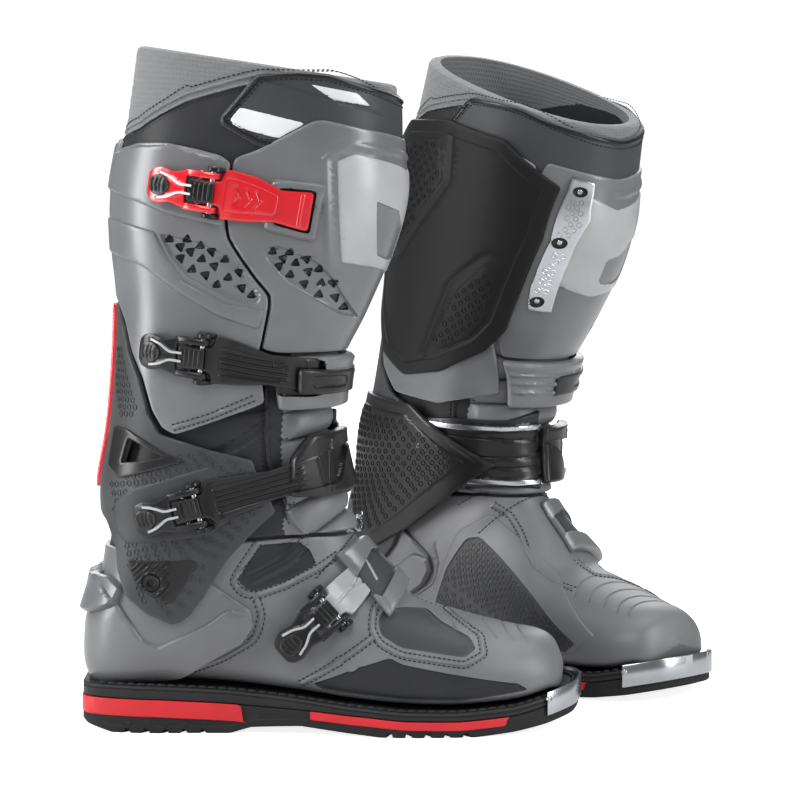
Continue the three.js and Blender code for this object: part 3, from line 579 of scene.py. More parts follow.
def shaderGroup(name, inputs, outputs):
    tree = bpy.data.node_groups.new(name, "ShaderNodeTree")
    for label, value in inputs.items():
        socket = tree.interface.new_socket(name=label, in_out="INPUT", socket_type="NodeSocketFloat")
        socket.default_value = value
    for label in outputs:
        tree.interface.new_socket(name=label, in_out="OUTPUT", socket_type="NodeSocketFloat")
    return tree, tree.nodes.new("NodeGroupInput"), tree.nodes.new("NodeGroupOutput")


# pebbled skin: small cells with creases between them, and a slow change of tone
def buildGrain():
    tree, given, out = shaderGroup("grain", {"Cells": 700, "Fine": 2600, "Patches": 26}, ("Height", "Tone"))
    place = newNode(tree, "ShaderNodeTexCoord").outputs["Object"]
    cells = newNode(tree, "ShaderNodeTexVoronoi", feature="SMOOTH_F1")
    fine = newNode(tree, "ShaderNodeTexNoise")
    patches = newNode(tree, "ShaderNodeTexNoise")
    fine.inputs["Detail"].default_value = 4
    patches.inputs["Detail"].default_value = 3
    linkAll(
        tree, (place, cells.inputs["Vector"]), (place, fine.inputs["Vector"]),
        (place, patches.inputs["Vector"]),
        (given.outputs["Cells"], cells.inputs["Scale"]), (given.outputs["Fine"], fine.inputs["Scale"]),
        (given.outputs["Patches"], patches.inputs["Scale"]),
    )
    bumps = mathNode(tree, "MULTIPLY", cells.outputs["Distance"], -0.8)
    height = mathNode(tree, "ADD", bumps, mathNode(tree, "MULTIPLY", fine.outputs[0], 0.4))
    linkAll(tree, (height, out.inputs["Height"]), (patches.outputs[0], out.inputs["Tone"]))
    return tree


# where a moulding's edge has been rubbed: near its rim, broken up
def buildWear():
    tree, given, out = shaderGroup("edgeWear", {"Amount": 0.5, "Break": 160}, ("Mask",))
    rim = newNode(tree, "ShaderNodeAttribute", attribute_name="rim").outputs["Fac"]
    noise = newNode(tree, "ShaderNodeTexNoise")
    place = newNode(tree, "ShaderNodeTexCoord").outputs["Object"]
    linkAll(tree, (place, noise.inputs["Vector"]), (given.outputs["Break"], noise.inputs["Scale"]))
    broken = mathNode(tree, "MULTIPLY", mathNode(tree, "POWER", rim, 2.0), noise.outputs[0])
    linkAll(tree, (mathNode(tree, "MULTIPLY", broken, given.outputs["Amount"], True), out.inputs["Mask"]))
    return tree


# knitted cloth: short slanted stitches in rows
def buildKnit():
    tree, given, out = shaderGroup("knit", {"Rows": 420, "Columns": 520}, ("Height", "Tone"))
    lay = newNode(tree, "ShaderNodeUVMap", uv_map="lay").outputs[0]
    split = newNode(tree, "ShaderNodeSeparateXYZ")
    linkAll(tree, (lay, split.inputs[0]))
    turns = 2 * math.pi
    column = mathNode(tree, "MULTIPLY",
                      mathNode(tree, "MULTIPLY", split.outputs["X"], given.outputs["Columns"]), turns)
    zigzag = mathNode(tree, "ABSOLUTE", mathNode(tree, "SINE", mathNode(tree, "MULTIPLY", column, 0.5)))
    row = mathNode(tree, "MULTIPLY", mathNode(tree, "MULTIPLY", split.outputs["Y"], given.outputs["Rows"]),
                   turns)
    slanted = mathNode(tree, "SINE", mathNode(tree, "ADD", row, mathNode(tree, "MULTIPLY", zigzag, 2.2)))
    height = mathNode(tree, "ADD", mathNode(tree, "MULTIPLY", slanted, 0.5),
                      mathNode(tree, "MULTIPLY", zigzag, 0.6))
    noise = newNode(tree, "ShaderNodeTexNoise")
    noise.inputs["Scale"].default_value = 900
    linkAll(tree, (newNode(tree, "ShaderNodeTexCoord").outputs["Object"], noise.inputs["Vector"]))
    tone = mathNode(tree, "ADD", mathNode(tree, "MULTIPLY", height, 0.35), noise.outputs[0])
    linkAll(tree, (height, out.inputs["Height"]), (tone, out.inputs["Tone"]))
    return tree


shaderGroups = {"grain": buildGrain(), "wear": buildWear(), "knit": buildKnit()}

# colour and worn colour are linear; relief is the bump's depth in metres
finishes = {
    "greyShell": {"colour": (0.115, 0.117, 0.122), "worn": (0.32, 0.32, 0.33), "rough": 0.3,
                  "relief": 0.00002,
                  "cells": 1500, "fine": 3200, "wear": 0.9, "coat": 0.12},
    "greyLeather": {"colour": (0.125, 0.127, 0.132), "worn": (0.3, 0.3, 0.31), "rough": 0.44,
                    "relief": 0.00007,
                    "cells": 800, "fine": 2400, "wear": 0.6},
    "darkLeather": {"specular": 0.2, "colour": (0.022, 0.0225, 0.024), "worn": (0.1, 0.1, 0.105),
                     "rough": 0.46, "relief": 0.0001,
                    "cells": 640, "fine": 2200, "wear": 0.5},
    "slateLeather": {"specular": 0.25, "colour": (0.04, 0.041, 0.044), "worn": (0.16, 0.16, 0.17),
                     "rough": 0.44, "relief": 0.0001,
                     "cells": 700, "fine": 2200, "wear": 0.5},
    "blackPlastic": {"specular": 0.28, "colour": (0.008, 0.008, 0.0085), "worn": (0.07, 0.07, 0.075),
                     "rough": 0.3, "relief": 0.00002,
                     "cells": 1800, "fine": 3600, "wear": 0.8, "coat": 0.1},
    "gripRubber": {"specular": 0.18, "colour": (0.0075, 0.0075, 0.008), "worn": (0.05, 0.05, 0.05),
                     "rough": 0.5, "relief": 0.00006,
                   "cells": 1100, "fine": 3000, "wear": 0.5},
    "embossRubber": {"specular": 0.3, "colour": (0.035, 0.0355, 0.037), "worn": (0.1, 0.1, 0.1),
                     "rough": 0.4, "relief": 0.00002,
                     "cells": 1500, "fine": 3000, "wear": 0.2},
    "redPlastic": {"colour": (0.55, 0.004, 0.012), "worn": (0.75, 0.06, 0.06), "rough": 0.24,
                   "relief": 0.00001,
                   "cells": 1800, "fine": 3600, "wear": 0.5, "coat": 0.5},
    "redRubber": {"colour": (0.52, 0.008, 0.014), "worn": (0.7, 0.06, 0.06), "rough": 0.42, "relief": 0.00004,
                  "cells": 1200, "fine": 3000, "wear": 0.4},
    "paleGrey": {"colour": (0.3, 0.304, 0.312), "worn": (0.62, 0.62, 0.63), "rough": 0.34, "relief": 0.00002,
                 "cells": 1500, "fine": 3200, "wear": 0.5, "coat": 0.15},
    "white": {"colour": (0.6, 0.605, 0.615), "worn": (0.8, 0.8, 0.8), "rough": 0.36, "relief": 0.00002,
              "cells": 1400, "fine": 3000, "wear": 0.2, "coat": 0.15},
    "steel": {"colour": (0.42, 0.43, 0.45), "worn": (0.8, 0.8, 0.82), "rough": 0.24, "relief": 0.00002,
              "cells": 1600, "fine": 3400, "wear": 0.6, "metal": 1.0},
    "soleRubber": {"specular": 0.18, "colour": (0.016, 0.016, 0.017), "worn": (0.05, 0.05, 0.05),
                     "rough": 0.66, "relief": 0.0001,
                   "cells": 900, "fine": 2600, "wear": 0.5},
    "welt": {"specular": 0.2, "colour": (0.02, 0.02, 0.021), "worn": (0.16, 0.16, 0.165),
                     "rough": 0.5, "relief": 0.00005,
             "cells": 1000, "fine": 2800, "wear": 0.9},
    "thread": {"specular": 0.2, "colour": (0.012, 0.012, 0.013), "worn": (0.05, 0.05, 0.05),
                     "rough": 0.62, "relief": 0.00003,
               "cells": 2600, "fine": 5200, "wear": 0.0},
    "knitCloth": {"colour": (0.125, 0.127, 0.132), "worn": (0.2, 0.2, 0.205), "rough": 0.8, "relief": 0.00018,
                  "wear": 0.0, "knit": True, "sheen": 0.15},
    "liningCloth": {"colour": (0.035, 0.035, 0.037), "worn": (0.06, 0.06, 0.06), "rough": 0.85,
                    "relief": 0.00015,
                    "wear": 0.0, "knit": True, "sheen": 0.3},
}


def makeFinish(name, spec):
    material = bpy.data.materials.new(name)
    material.use_nodes = True
    tree = material.node_tree
    shader = tree.nodes["Principled BSDF"]
    surface = newNode(tree, "ShaderNodeGroup")
    surface.node_tree = shaderGroups["knit" if spec.get("knit") else "grain"]
    if not spec.get("knit"):
        surface.inputs["Cells"].default_value = spec["cells"]
        surface.inputs["Fine"].default_value = spec["fine"]
    wear = newNode(tree, "ShaderNodeGroup")
    wear.node_tree = shaderGroups["wear"]
    wear.inputs["Amount"].default_value = spec["wear"]
    tone = newNode(tree, "ShaderNodeMapRange")
    for label, value in (("From Min", 0.25), ("From Max", 0.75), ("To Min", 0.0), ("To Max", 1.0)):
        tone.inputs[label].default_value = value
    shades = newNode(tree, "ShaderNodeMix", data_type="RGBA")
    shades.inputs[6].default_value = (*[c * 0.86 for c in spec["colour"]], 1)
    shades.inputs[7].default_value = (*[min(c * 1.14, 1) for c in spec["colour"]], 1)
    rubbed = newNode(tree, "ShaderNodeMix", data_type="RGBA")
    rubbed.inputs[7].default_value = (*spec["worn"], 1)
    gloss = newNode(tree, "ShaderNodeMapRange")
    gloss.inputs["To Min"].default_value = spec["rough"] * 0.88
    gloss.inputs["To Max"].default_value = min(spec["rough"] * 1.14, 1)
    bump = newNode(tree, "ShaderNodeBump")
    bump.inputs["Strength"].default_value = 0.8
    bump.inputs["Distance"].default_value = spec["relief"]
    linkAll(
        tree, (surface.outputs["Tone"], tone.inputs["Value"]), (tone.outputs[0], shades.inputs[0]),
        (shades.outputs[2], rubbed.inputs[6]), (wear.outputs["Mask"], rubbed.inputs[0]),
        (rubbed.outputs[2], shader.inputs["Base Color"]), (surface.outputs["Tone"], gloss.inputs["Value"]),
        (gloss.outputs[0], shader.inputs["Roughness"]), (surface.outputs["Height"], bump.inputs["Height"]),
        (bump.outputs[0], shader.inputs["Normal"]),
    )
    shader.inputs["Metallic"].default_value = spec.get("metal", 0.0)
    shader.inputs["Specular IOR Level"].default_value = spec.get("specular", 0.5)
    shader.inputs["Coat Weight"].default_value = spec.get("coat", 0.0)
    shader.inputs["Coat Roughness"].default_value = 0.2
    shader.inputs["Sheen Weight"].default_value = spec.get("sheen", 0.0)
    return material


finish = {name: makeFinish(name, spec) for name, spec in finishes.items()}
print("finishes ready")


# Geometry Nodes: a row of sewn stitches along a path
def buildStitchTree():
    tree = bpy.data.node_groups.new("stitchRow", "GeometryNodeTree")
    face = tree.interface
    face.new_socket(name="Geometry", in_out="INPUT", socket_type="NodeSocketGeometry")
    for label, value in (("Spacing", 0.0032), ("Stitch length", 0.0023), ("Thread", 0.0008)):
        face.new_socket(name=label, in_out="INPUT", socket_type="NodeSocketFloat").default_value = value
    face.new_socket(name="Finish", in_out="INPUT", socket_type="NodeSocketMaterial")
    face.new_socket(name="Geometry", in_out="OUTPUT", socket_type="NodeSocketGeometry")
    given, out = tree.nodes.new("NodeGroupInput"), tree.nodes.new("NodeGroupOutput")
    curve = tree.nodes.new("GeometryNodeMeshToCurve")
    points = newNode(tree, "GeometryNodeCurveToPoints", mode="LENGTH")
    bead = tree.nodes.new("GeometryNodeMeshUVSphere")
    bead.inputs["Segments"].default_value = 6
    bead.inputs["Rings"].default_value = 4
    bead.inputs["Radius"].default_value = 0.5
    size = tree.nodes.new("ShaderNodeCombineXYZ")
    place = tree.nodes.new("GeometryNodeInstanceOnPoints")
    realize = tree.nodes.new("GeometryNodeRealizeInstances")
    paint = tree.nodes.new("GeometryNodeSetMaterial")
    linkAll(
        tree, (given.outputs["Geometry"], curve.inputs[0]), (curve.outputs[0], points.inputs[0]),
        (given.outputs["Spacing"], points.inputs["Length"]),
        (points.outputs["Points"], place.inputs["Points"]),
        (points.outputs["Rotation"], place.inputs["Rotation"]),
        (bead.outputs["Mesh"], place.inputs["Instance"]),
        (given.outputs["Thread"], size.inputs[0]), (given.outputs["Thread"], size.inputs[1]),
        (given.outputs["Stitch length"], size.inputs[2]), (size.outputs[0], place.inputs["Scale"]),
        (place.outputs[0], realize.inputs[0]), (realize.outputs[0], paint.inputs["Geometry"]),
        (given.outputs["Finish"], paint.inputs["Material"]), (paint.outputs[0], out.inputs[0]),
    )
    return tree


# Geometry Nodes: one small shape set on every point, standing along its facing and turned to its heading
def buildStudTree():
    tree = bpy.data.node_groups.new("studField", "GeometryNodeTree")
    face = tree.interface
    face.new_socket(name="Geometry", in_out="INPUT", socket_type="NodeSocketGeometry")
    face.new_socket(name="Shape", in_out="INPUT", socket_type="NodeSocketObject")
    face.new_socket(name="Size", in_out="INPUT", socket_type="NodeSocketFloat").default_value = 1.0
    face.new_socket(name="Finish", in_out="INPUT", socket_type="NodeSocketMaterial")
    face.new_socket(name="Geometry", in_out="OUTPUT", socket_type="NodeSocketGeometry")
    given, out = tree.nodes.new("NodeGroupInput"), tree.nodes.new("NodeGroupOutput")
    facing = newNode(tree, "GeometryNodeInputNamedAttribute", data_type="FLOAT_VECTOR")
    facing.inputs[0].default_value = "facing"
    heading = newNode(tree, "GeometryNodeInputNamedAttribute", data_type="FLOAT_VECTOR")
    heading.inputs[0].default_value = "heading"
    turn = newNode(tree, "FunctionNodeAxesToRotation", primary_axis="Z", secondary_axis="X")
    shape = tree.nodes.new("GeometryNodeObjectInfo")
    place = tree.nodes.new("GeometryNodeInstanceOnPoints")
    realize = tree.nodes.new("GeometryNodeRealizeInstances")
    paint = tree.nodes.new("GeometryNodeSetMaterial")
    linkAll(
        tree, (given.outputs["Geometry"], place.inputs["Points"]), (given.outputs["Shape"], shape.inputs[0]),
        (shape.outputs["Geometry"], place.inputs["Instance"]), (facing.outputs[0], turn.inputs[0]),
        (heading.outputs[0], turn.inputs[1]), (turn.outputs[0], place.inputs["Rotation"]),
        (given.outputs["Size"], place.inputs["Scale"]), (place.outputs[0], realize.inputs[0]),
        (realize.outputs[0], paint.inputs["Geometry"]), (given.outputs["Finish"], paint.inputs["Material"]),
        (paint.outputs[0], out.inputs[0]),
    )
    return tree


trees = {"stitch": buildStitchTree(), "stud": buildStudTree()}


# runs a tree on a mesh and keeps what comes out as a plain mesh
def grow(name, mesh, tree, values):
    source = bpy.data.objects.new(name + "_source", mesh)
    scene.collection.objects.link(source)
    modifier = source.modifiers.new("grow", "NODES")
    modifier.node_group = tree
    for item in tree.interface.items_tree:
        if item.in_out == "INPUT" and item.name in values:
            modifier[item.identifier] = values[item.name]
    bpy.context.view_layer.update()
    result = bpy.data.meshes.new_from_object(source.evaluated_get(bpy.context.evaluated_depsgraph_get()))
    source.modifiers.remove(modifier)
    bpy.data.objects.remove(source)
    result.name = name
    result.shade_smooth()
    result.set_sharp_from_angle(angle=math.radians(40))
    obj = bpy.data.objects.new(name, result)
    scene.collection.objects.link(obj)
    return obj


seams = []  # every sewn line: which part carries it, its points, and its thread


def sewLine(part, body, path, base, surface=formSurface, closed=False, kind="seam"):
    p, n = surface(closeLoop(path) if closed else path)
    seams.append({"part": part, "body": body, "points": p + n * base, "kind": kind})


threads = {
    "seam": {"Spacing": 0.0031, "Stitch length": 0.0023, "Thread": 0.00085},
    "welt": {"Spacing": 0.0064, "Stitch length": 0.0056, "Thread": 0.0028},
}


def sewAll():
    for part, body in sorted({(s["part"], s["body"]) for s in seams}):
        for side in ("right", "left"):
            for kind in sorted({s["kind"] for s in seams if (s["part"], s["body"]) == (part, body)}):
                points, links = [], []
                for seam in seams:
                    if (seam["part"], seam["body"], seam["kind"]) == (part, body, kind):
                        start = len(points)
                        points += toWorld(seam["points"], side, part).tolist()
                        links += [(i, i + 1) for i in range(start, len(points) - 1)]
                mesh = bpy.data.meshes.new("seamPath")
                mesh.from_pydata(points, links, [])
                name = f"{side}_{body}_{part}_{kind}_stitches"
                obj = grow(name, mesh, trees["stitch"], {**threads[kind], "Finish": finish["thread"]})
                finishPair(obj, side, body, part)


fields = []  # small repeated shapes: where they stand on the right boot, and what stands there


def addField(name, shape, points, normals, headings, part, body, material, size=1.0, replaced=()):
    fields.append({"name": name, "shape": shape, "points": points, "facing": normals, "heading": headings,
                   "part": part, "body": body, "finish": material, "size": size, "replaced": replaced})


def standAll():
    for field in fields:
        source = field["shape"]
        template = meshObject(field["name"] + "_shape", source["points"] / 1000, source["faces"])
        for side in ("right", "left"):
            spots = toWorld(field["points"], side, field["part"])
            tip = toWorld(field["points"] + field["facing"], side, field["part"])
            ahead = toWorld(field["points"] + field["heading"], side, field["part"])
            mesh = bpy.data.meshes.new("studSpots")
            mesh.from_pydata(spots.tolist(), [], [])
            for label, vectors in (("facing", unit(tip - spots)), ("heading", unit(ahead - spots))):
                layer = mesh.attributes.new(label, "FLOAT_VECTOR", "POINT")
                layer.data.foreach_set("vector", vectors.astype(np.float32).ravel())
            obj = grow(f"{side}_{field['name']}", mesh, trees["stud"],
                       {"Shape": template, "Size": field["size"], "Finish": finish[field["finish"]]})
            finishPair(obj, side, field["body"], field["part"], field["replaced"])
        bpy.data.objects.remove(template)


# a ring of flat-topped wall round a many-sided outline, standing on z = 0
def ringShape(corners, outer, inner, height, chamfer):
    turn = np.arange(corners) / corners * 2 * math.pi + math.pi / corners
    circle = np.stack([np.cos(turn), np.sin(turn)], -1)
    rows = [(outer, -0.3), (outer, height - chamfer), (outer - chamfer, height), (inner + chamfer, height),
            (inner, height - chamfer), (inner, -0.3)]
    points = np.concatenate([np.column_stack([circle * r, np.full(corners, z)]) for r, z in rows])
    faces = []
    for k in range(len(rows)):
        after = (k + 1) % len(rows)
        for i in range(corners):
            j = (i + 1) % corners
            faces.append((k * corners + i, k * corners + j, after * corners + j, after * corners + i))
    return plainShape(points, faces)


# a turned shape from rows of (radius, height), closed at its ends
def turnedShape(rows, corners=20):
    turn = np.arange(corners) / corners * 2 * math.pi
    points = []
    for radius, z in rows:
        points += [(math.cos(t) * radius, math.sin(t) * radius, z) for t in turn]
    faces = []
    for k in range(len(rows) - 1):
        for i in range(corners):
            j = (i + 1) % corners
            faces.append((k * corners + i, k * corners + j, (k + 1) * corners + j, (k + 1) * corners + i))
    faces.append(tuple(range(corners))[::-1])
    faces.append(tuple((len(rows) - 1) * corners + i for i in range(corners)))
    return plainShape(points, faces)


screwShape = turnedShape([
    (2.6, -1.5), (2.6, 0.4), (2.35, 0.9), (1.7, 1.25), (1.3, 1.25), (1.2, 0.5),
])
hexShape = ringShape(6, 2.15, 1.35, 0.42, 0.16)


# hexagon rings set over a patch of the form, in rows
def embossPatch(name, loop, base, part, body, material, pitch=4.7, surface=formSurface, keepOut=()):
    low, high = loop.min(0), loop.max(0)
    spots = []
    for k, w in enumerate(np.arange(low[1] + 2, high[1], pitch * 0.86)):
        for u in np.arange(low[0] + (k % 2) * pitch / 2, high[0], pitch):
            spots.append((u, w))
    spots = np.array(spots)
    spots = spots[insideOf(spots, loop)]
    for gap in keepOut:
        spots = spots[~insideOf(spots, gap)]
    p, n = surface(spots)
    clear = awayFrom(p, surface(closeLoop(loop))[0]) > 2.6
    spots, p, n = spots[clear], p[clear], n[clear]
    ahead = unit(surface(spots + [0.2, 0])[0] - p)
    addField(name, hexShape, p + n * base, n, ahead, part, body, material)


shellFaces = {"upper": -1.2, "counter": 1.9, "shell": 5.7, "guard": 9.1, "upperWall": 4.3, "wall": 3.3}
chartSeam = (0.0, math.pi * bootForm["chartPerRadian"])


# a height line round the whole form: for each angle the slice whose skin reaches it
def levelLine(heightAt, start=6.5, count=180):
    a = np.linspace(-math.pi, math.pi, count + 1)
    v = np.linspace(start, 22.9, 500)
    line = []
    for angle in a:
        p = skin(v, np.full(len(v), angle))
        over = p[:, 2] - heightAt(p[:, 0], angle)
        k = int(np.argmax(over > 0)) if np.any(over > 0) else len(v) - 1
        k = max(k, 1)
        t = over[k - 1] / (over[k - 1] - over[k] + 1e-9)
        line.append(toChart(v[k - 1] + (v[k] - v[k - 1]) * np.clip(t, 0, 1), angle))
    return np.array(line)


def ringLoop(lowLine, highLine, rows=90):
    rise = lambda a, b: a + (b - a) * (np.arange(1, rows) / rows)[:, None]
    return np.concatenate([lowLine, rise(lowLine[-1], highLine[-1]), highLine[::-1],
                           rise(highLine[0], lowLine[0])])


def flatLine(v, count=180):
    return np.array([toChart(v, a) for a in np.linspace(-math.pi, math.pi, count + 1)])


def sideRibbon(points, widen=0.0):
    left, right = [], []
    for i, (x, z, width) in enumerate(points):
        before, after = points[max(i - 1, 0)], points[min(i + 1, len(points) - 1)]
        length = math.hypot(after[0] - before[0], after[1] - before[1])
        ux, uz = (after[0] - before[0]) / length, (after[1] - before[1]) / length
        reach = -widen if i == 0 else widen if i == len(points) - 1 else 0
        half = width / 2 + widen
        left.append((x + ux * reach - uz * half, z + uz * reach + ux * half))
        right.append((x + ux * reach + uz * half, z + uz * reach - ux * half))
    return right + left[::-1]


def doubleSeam(part, body, path, base, spread=1.9, closed=False):
    for offset in (-spread, spread):
        sewLine(part, body, besidePath(formSurface, path, offset, closed), base, closed=closed)


upperSpec = {
    "rim": ((20, 112), (60, 118), (110, 122), (150, 124), (185, 124), (200, 130)),
    "piping": (1.35, 1.0),  # width and height
    "counterSeam": ((111.4, 87.9), (115.7, 76), (111.4, 60.2), (90.1, 47.4), (66, 36.5)),
    "gussetSeam": ((113, 121), (104, 108), (97, 97), (103, 90), (111.4, 87.9), (130, 94), (152, 105),
                   (163, 112)),
    "gusset": ((115, 120), (100, 97.5), (105, 92), (112, 91), (131, 97.4), (150, 107), (146, 116),
               (140, 121)),
    "gussetFolds": (((108, 97), (134, 110), (142, 118)), ((104, 103), (124, 113), (132, 120))),
    "vampPanel": ((192.4, 79.4), (206, 79.5), (220, 77.2), (228.6, 70.8), (247, 61.5), (251, 55), (243.5, 50),
                  (203, 56.4), (190.5, 64), (188.6, 73)),
    "vampSeam": ((194, 87), (186, 79), (184.6, 67), (190, 58.5), (203, 51.8), (243.5, 45.4), (256, 51.5),
                 (254, 62), (234, 74), (225, 81), (212, 86)),
    "forwardSeam": ((184.8, 62), (168, 49.5), (152, 39), (140, 31.5)),
    "quarterPanel": ((147, 31.5), (170, 41), (196, 50), (204, 46), (240, 39), (280, 31.5), (284, 27.5),
                     (240, 21.5), (205, 22), (172, 25), (155, 27)),
    "innerPanel": ((106, 40), (120, 74), (133, 99), (156, 112), (170, 104), (271, 43), (256, 29), (200, 24),
                   (150, 27), (112, 33)),
    "innerHexes": ((111, 42), (124, 72), (140, 94), (150, 96), (258, 36), (250, 30), (200, 26), (152, 29)),
    "innerSeam": ((157, 118), (168, 112), (180, 100), (190, 89), (201, 79.5), (218, 72), (234, 69)),
    "toeLines": (4.35, 3.95, 3.55, 3.15, 2.75),  # slices that carry a line across the toe
    "toeLineReach": 0.62,
}


def makeUpper():
    spec = upperSpec
    rim = np.array(spec["rim"], float)
    top = levelLine(lambda x, a: np.interp(x, rim[:, 0], rim[:, 1]))
    loop = ringLoop(flatLine(0.0), top, rows=150)
    width, height = spec["piping"]
    face = shellFaces["upper"]
    marks = []
    for key, side in (("counterSeam", -1), ("gussetSeam", -1), ("vampSeam", -1), ("forwardSeam", -1),
                      ("innerSeam", 1)):
        path = softTrace(spec[key], side, 4)
        marks.append(ridge(path, width, height))
        doubleSeam("foot", "foot", path, face + 0.25, 2.3)
    counterTwin = softTrace(spec["counterSeam"], 1, 4)
    marks.append(ridge(counterTwin, width, height))
    marks.append(plateau(closedTrace(spec["gusset"], -1), -0.9, 1.2, tint=1))
    for fold in spec["gussetFolds"]:
        marks.append(ridge(softTrace(fold, -1, 4), 3.2, -1.3))
    marks.append(plateau(closedTrace(spec["vampPanel"], -1, 4), -1.2, 1.0, tint=2))
    marks.append(plateau(closedTrace(spec["quarterPanel"], -1), -0.8, 0.8, tint=1))
    inner = closedTrace(spec["innerPanel"], 1)
    marks.append(plateau(inner, 0.7, 0.8))
    hexes = closedTrace(spec["innerHexes"], 1)
    marks.append(plateau(hexes, -0.5, 0.8, tint=2))
    for v in spec["toeLines"]:
        angles = np.linspace(-spec["toeLineReach"], spec["toeLineReach"], 40)
        dip = 0.25 * (angles / spec["toeLineReach"]) ** 2
        marks.append(ridge(toChart(v - dip, angles), 1.1, -0.75))
    shape = makeSheet(formSurface, [loop], face, shellFaces["upperWall"], marks, pitch=2.5, seam=chartSeam)
    materials = [finish["greyLeather"], finish["darkLeather"], finish["slateLeather"]]
    addPair("upper", shape, materials, "foot", "foot", ["foot_upper"])
    embossPatch("sidePanelHexes", hexes, face + 0.2, "foot", "foot", "embossRubber")


makeUpper()
print("foot upper made")

bellowsSpec = {
    "bottom": ((20, 115.5), (60, 120.5), (110, 124.2), (150, 126.2), (186, 126.2), (240, 150)),
    "top": 372.5,
    "rollSeams": (122, 139, 156, 173, 190, 207, 224, 241, 258),  # heights on the front line
    "rollHeight": 4.4,
    "rollReach": 0.98,  # how far round the rolls run before the piping
    "piping": ((121, 258), (118.9, 224), (120, 173), (134.9, 134.7), (142, 126)),
    "quiltFolds": (((62, 207), (92, 216), (116, 222)), ((62, 199), (92, 205), (116, 209)),
                   ((84, 176), (104, 186), (118, 196)), ((100, 137), (118, 148), (126, 152))),
}


def makeBellows():
    spec = bellowsSpec
    low = np.array(spec["bottom"], float)
    bottom = levelLine(lambda x, a: 0 * x + np.interp(x, low[:, 0], low[:, 1]))
    bottom[:, 1] += 0.4
    loop = ringLoop(bottom, levelLine(lambda x, a: 0 * x + spec["top"]), rows=150)
    levels = np.array([sliceAtHeight(z, 0) for z in spec["rollSeams"]])
    face = shellFaces["upper"]
    marks = []
    for v in levels:
        a = np.linspace(-spec["rollReach"], spec["rollReach"], 60)
        path = toChart(np.full(60, v), a)
        marks.append(ridge(path, 1.2, -1.3))
        sewLine("fold", "cuff", besidePath(formSurface, path, 1.9, False), face + 0.9)
    for side in (-1, 1):
        path = softTrace(spec["piping"], side, 5)
        marks.append(ridge(path, 1.9, 1.9))
        sewLine("fold", "cuff", besidePath(formSurface, path, 2.9 * side, False), face + 0.6)
    for fold in spec["quiltFolds"]:
        marks.append(ridge(softTrace(fold, -1, 4), 4.2, -1.6))

    def rolls(chart, points, edge):
        v, a = fromChart(chart)
        share = np.interp(v, levels, np.arange(len(levels)), left=0, right=len(levels) - 1)
        bulge = np.abs(np.sin(math.pi * share)) ** 0.65
        reach = np.clip((spec["rollReach"] - np.abs(a)) / 0.16, 0, 1)
        return spec["rollHeight"] * bulge * reach * reach * (3 - 2 * reach)

    shape = makeSheet(
        formSurface, [loop], face, shellFaces["upperWall"], marks, pitch=2.5, extra=rolls, seam=chartSeam)
    centres = fromChart(shape["flat"][shape["faces"]].mean(1))
    shape["tints"] = (np.abs(centres[1]) > spec["rollReach"]).astype(int)
    addPair("bellows", shape, [finish["greyLeather"], finish["darkLeather"]], "cuff", "fold",
            ["bellows"])


makeBellows()
print("bellows made")

counterSpec = {
    "outline": (("back", 117), (20, 117), (60, 112), (108, 79), (110.7, 68.5), (103.7, 57.8), (66, 36.5),
                (48, 33.5), ("back", 34)),
    "raised": (("back", 103), (12.5, 103), (41, 60), (50.4, 56), (83.4, 72), (93, 79.7), (110, 78),
               (110.7, 68.5), (103.7, 57.8), (66, 36.5), (48, 33.5), ("back", 34)),
    "spur": (("back", 97), (9, 99), (22, 99), (30, 92), (24, 80), ("back", 72)),
}


def makeCounter():
    spec = counterSpec
    loop = wrapTrace(spec["outline"], spec["outline"], throughBack=True)
    raised = wrapTrace(spec["raised"], spec["raised"], throughBack=True, times=1)
    spur = wrapTrace(spec["spur"], spec["spur"], throughBack=True)
    marks = [plateau(raised, 2.3, 1.5), plateau(spur, 5.5, 1.8)]
    shape = makeSheet(formSurface, [loop], shellFaces["counter"], 2.8, marks, pitch=2.3, rounding=1.3)
    addPair("counter", shape, [finish["greyShell"]], "foot", "foot", ["heel_counter"])


makeCounter()

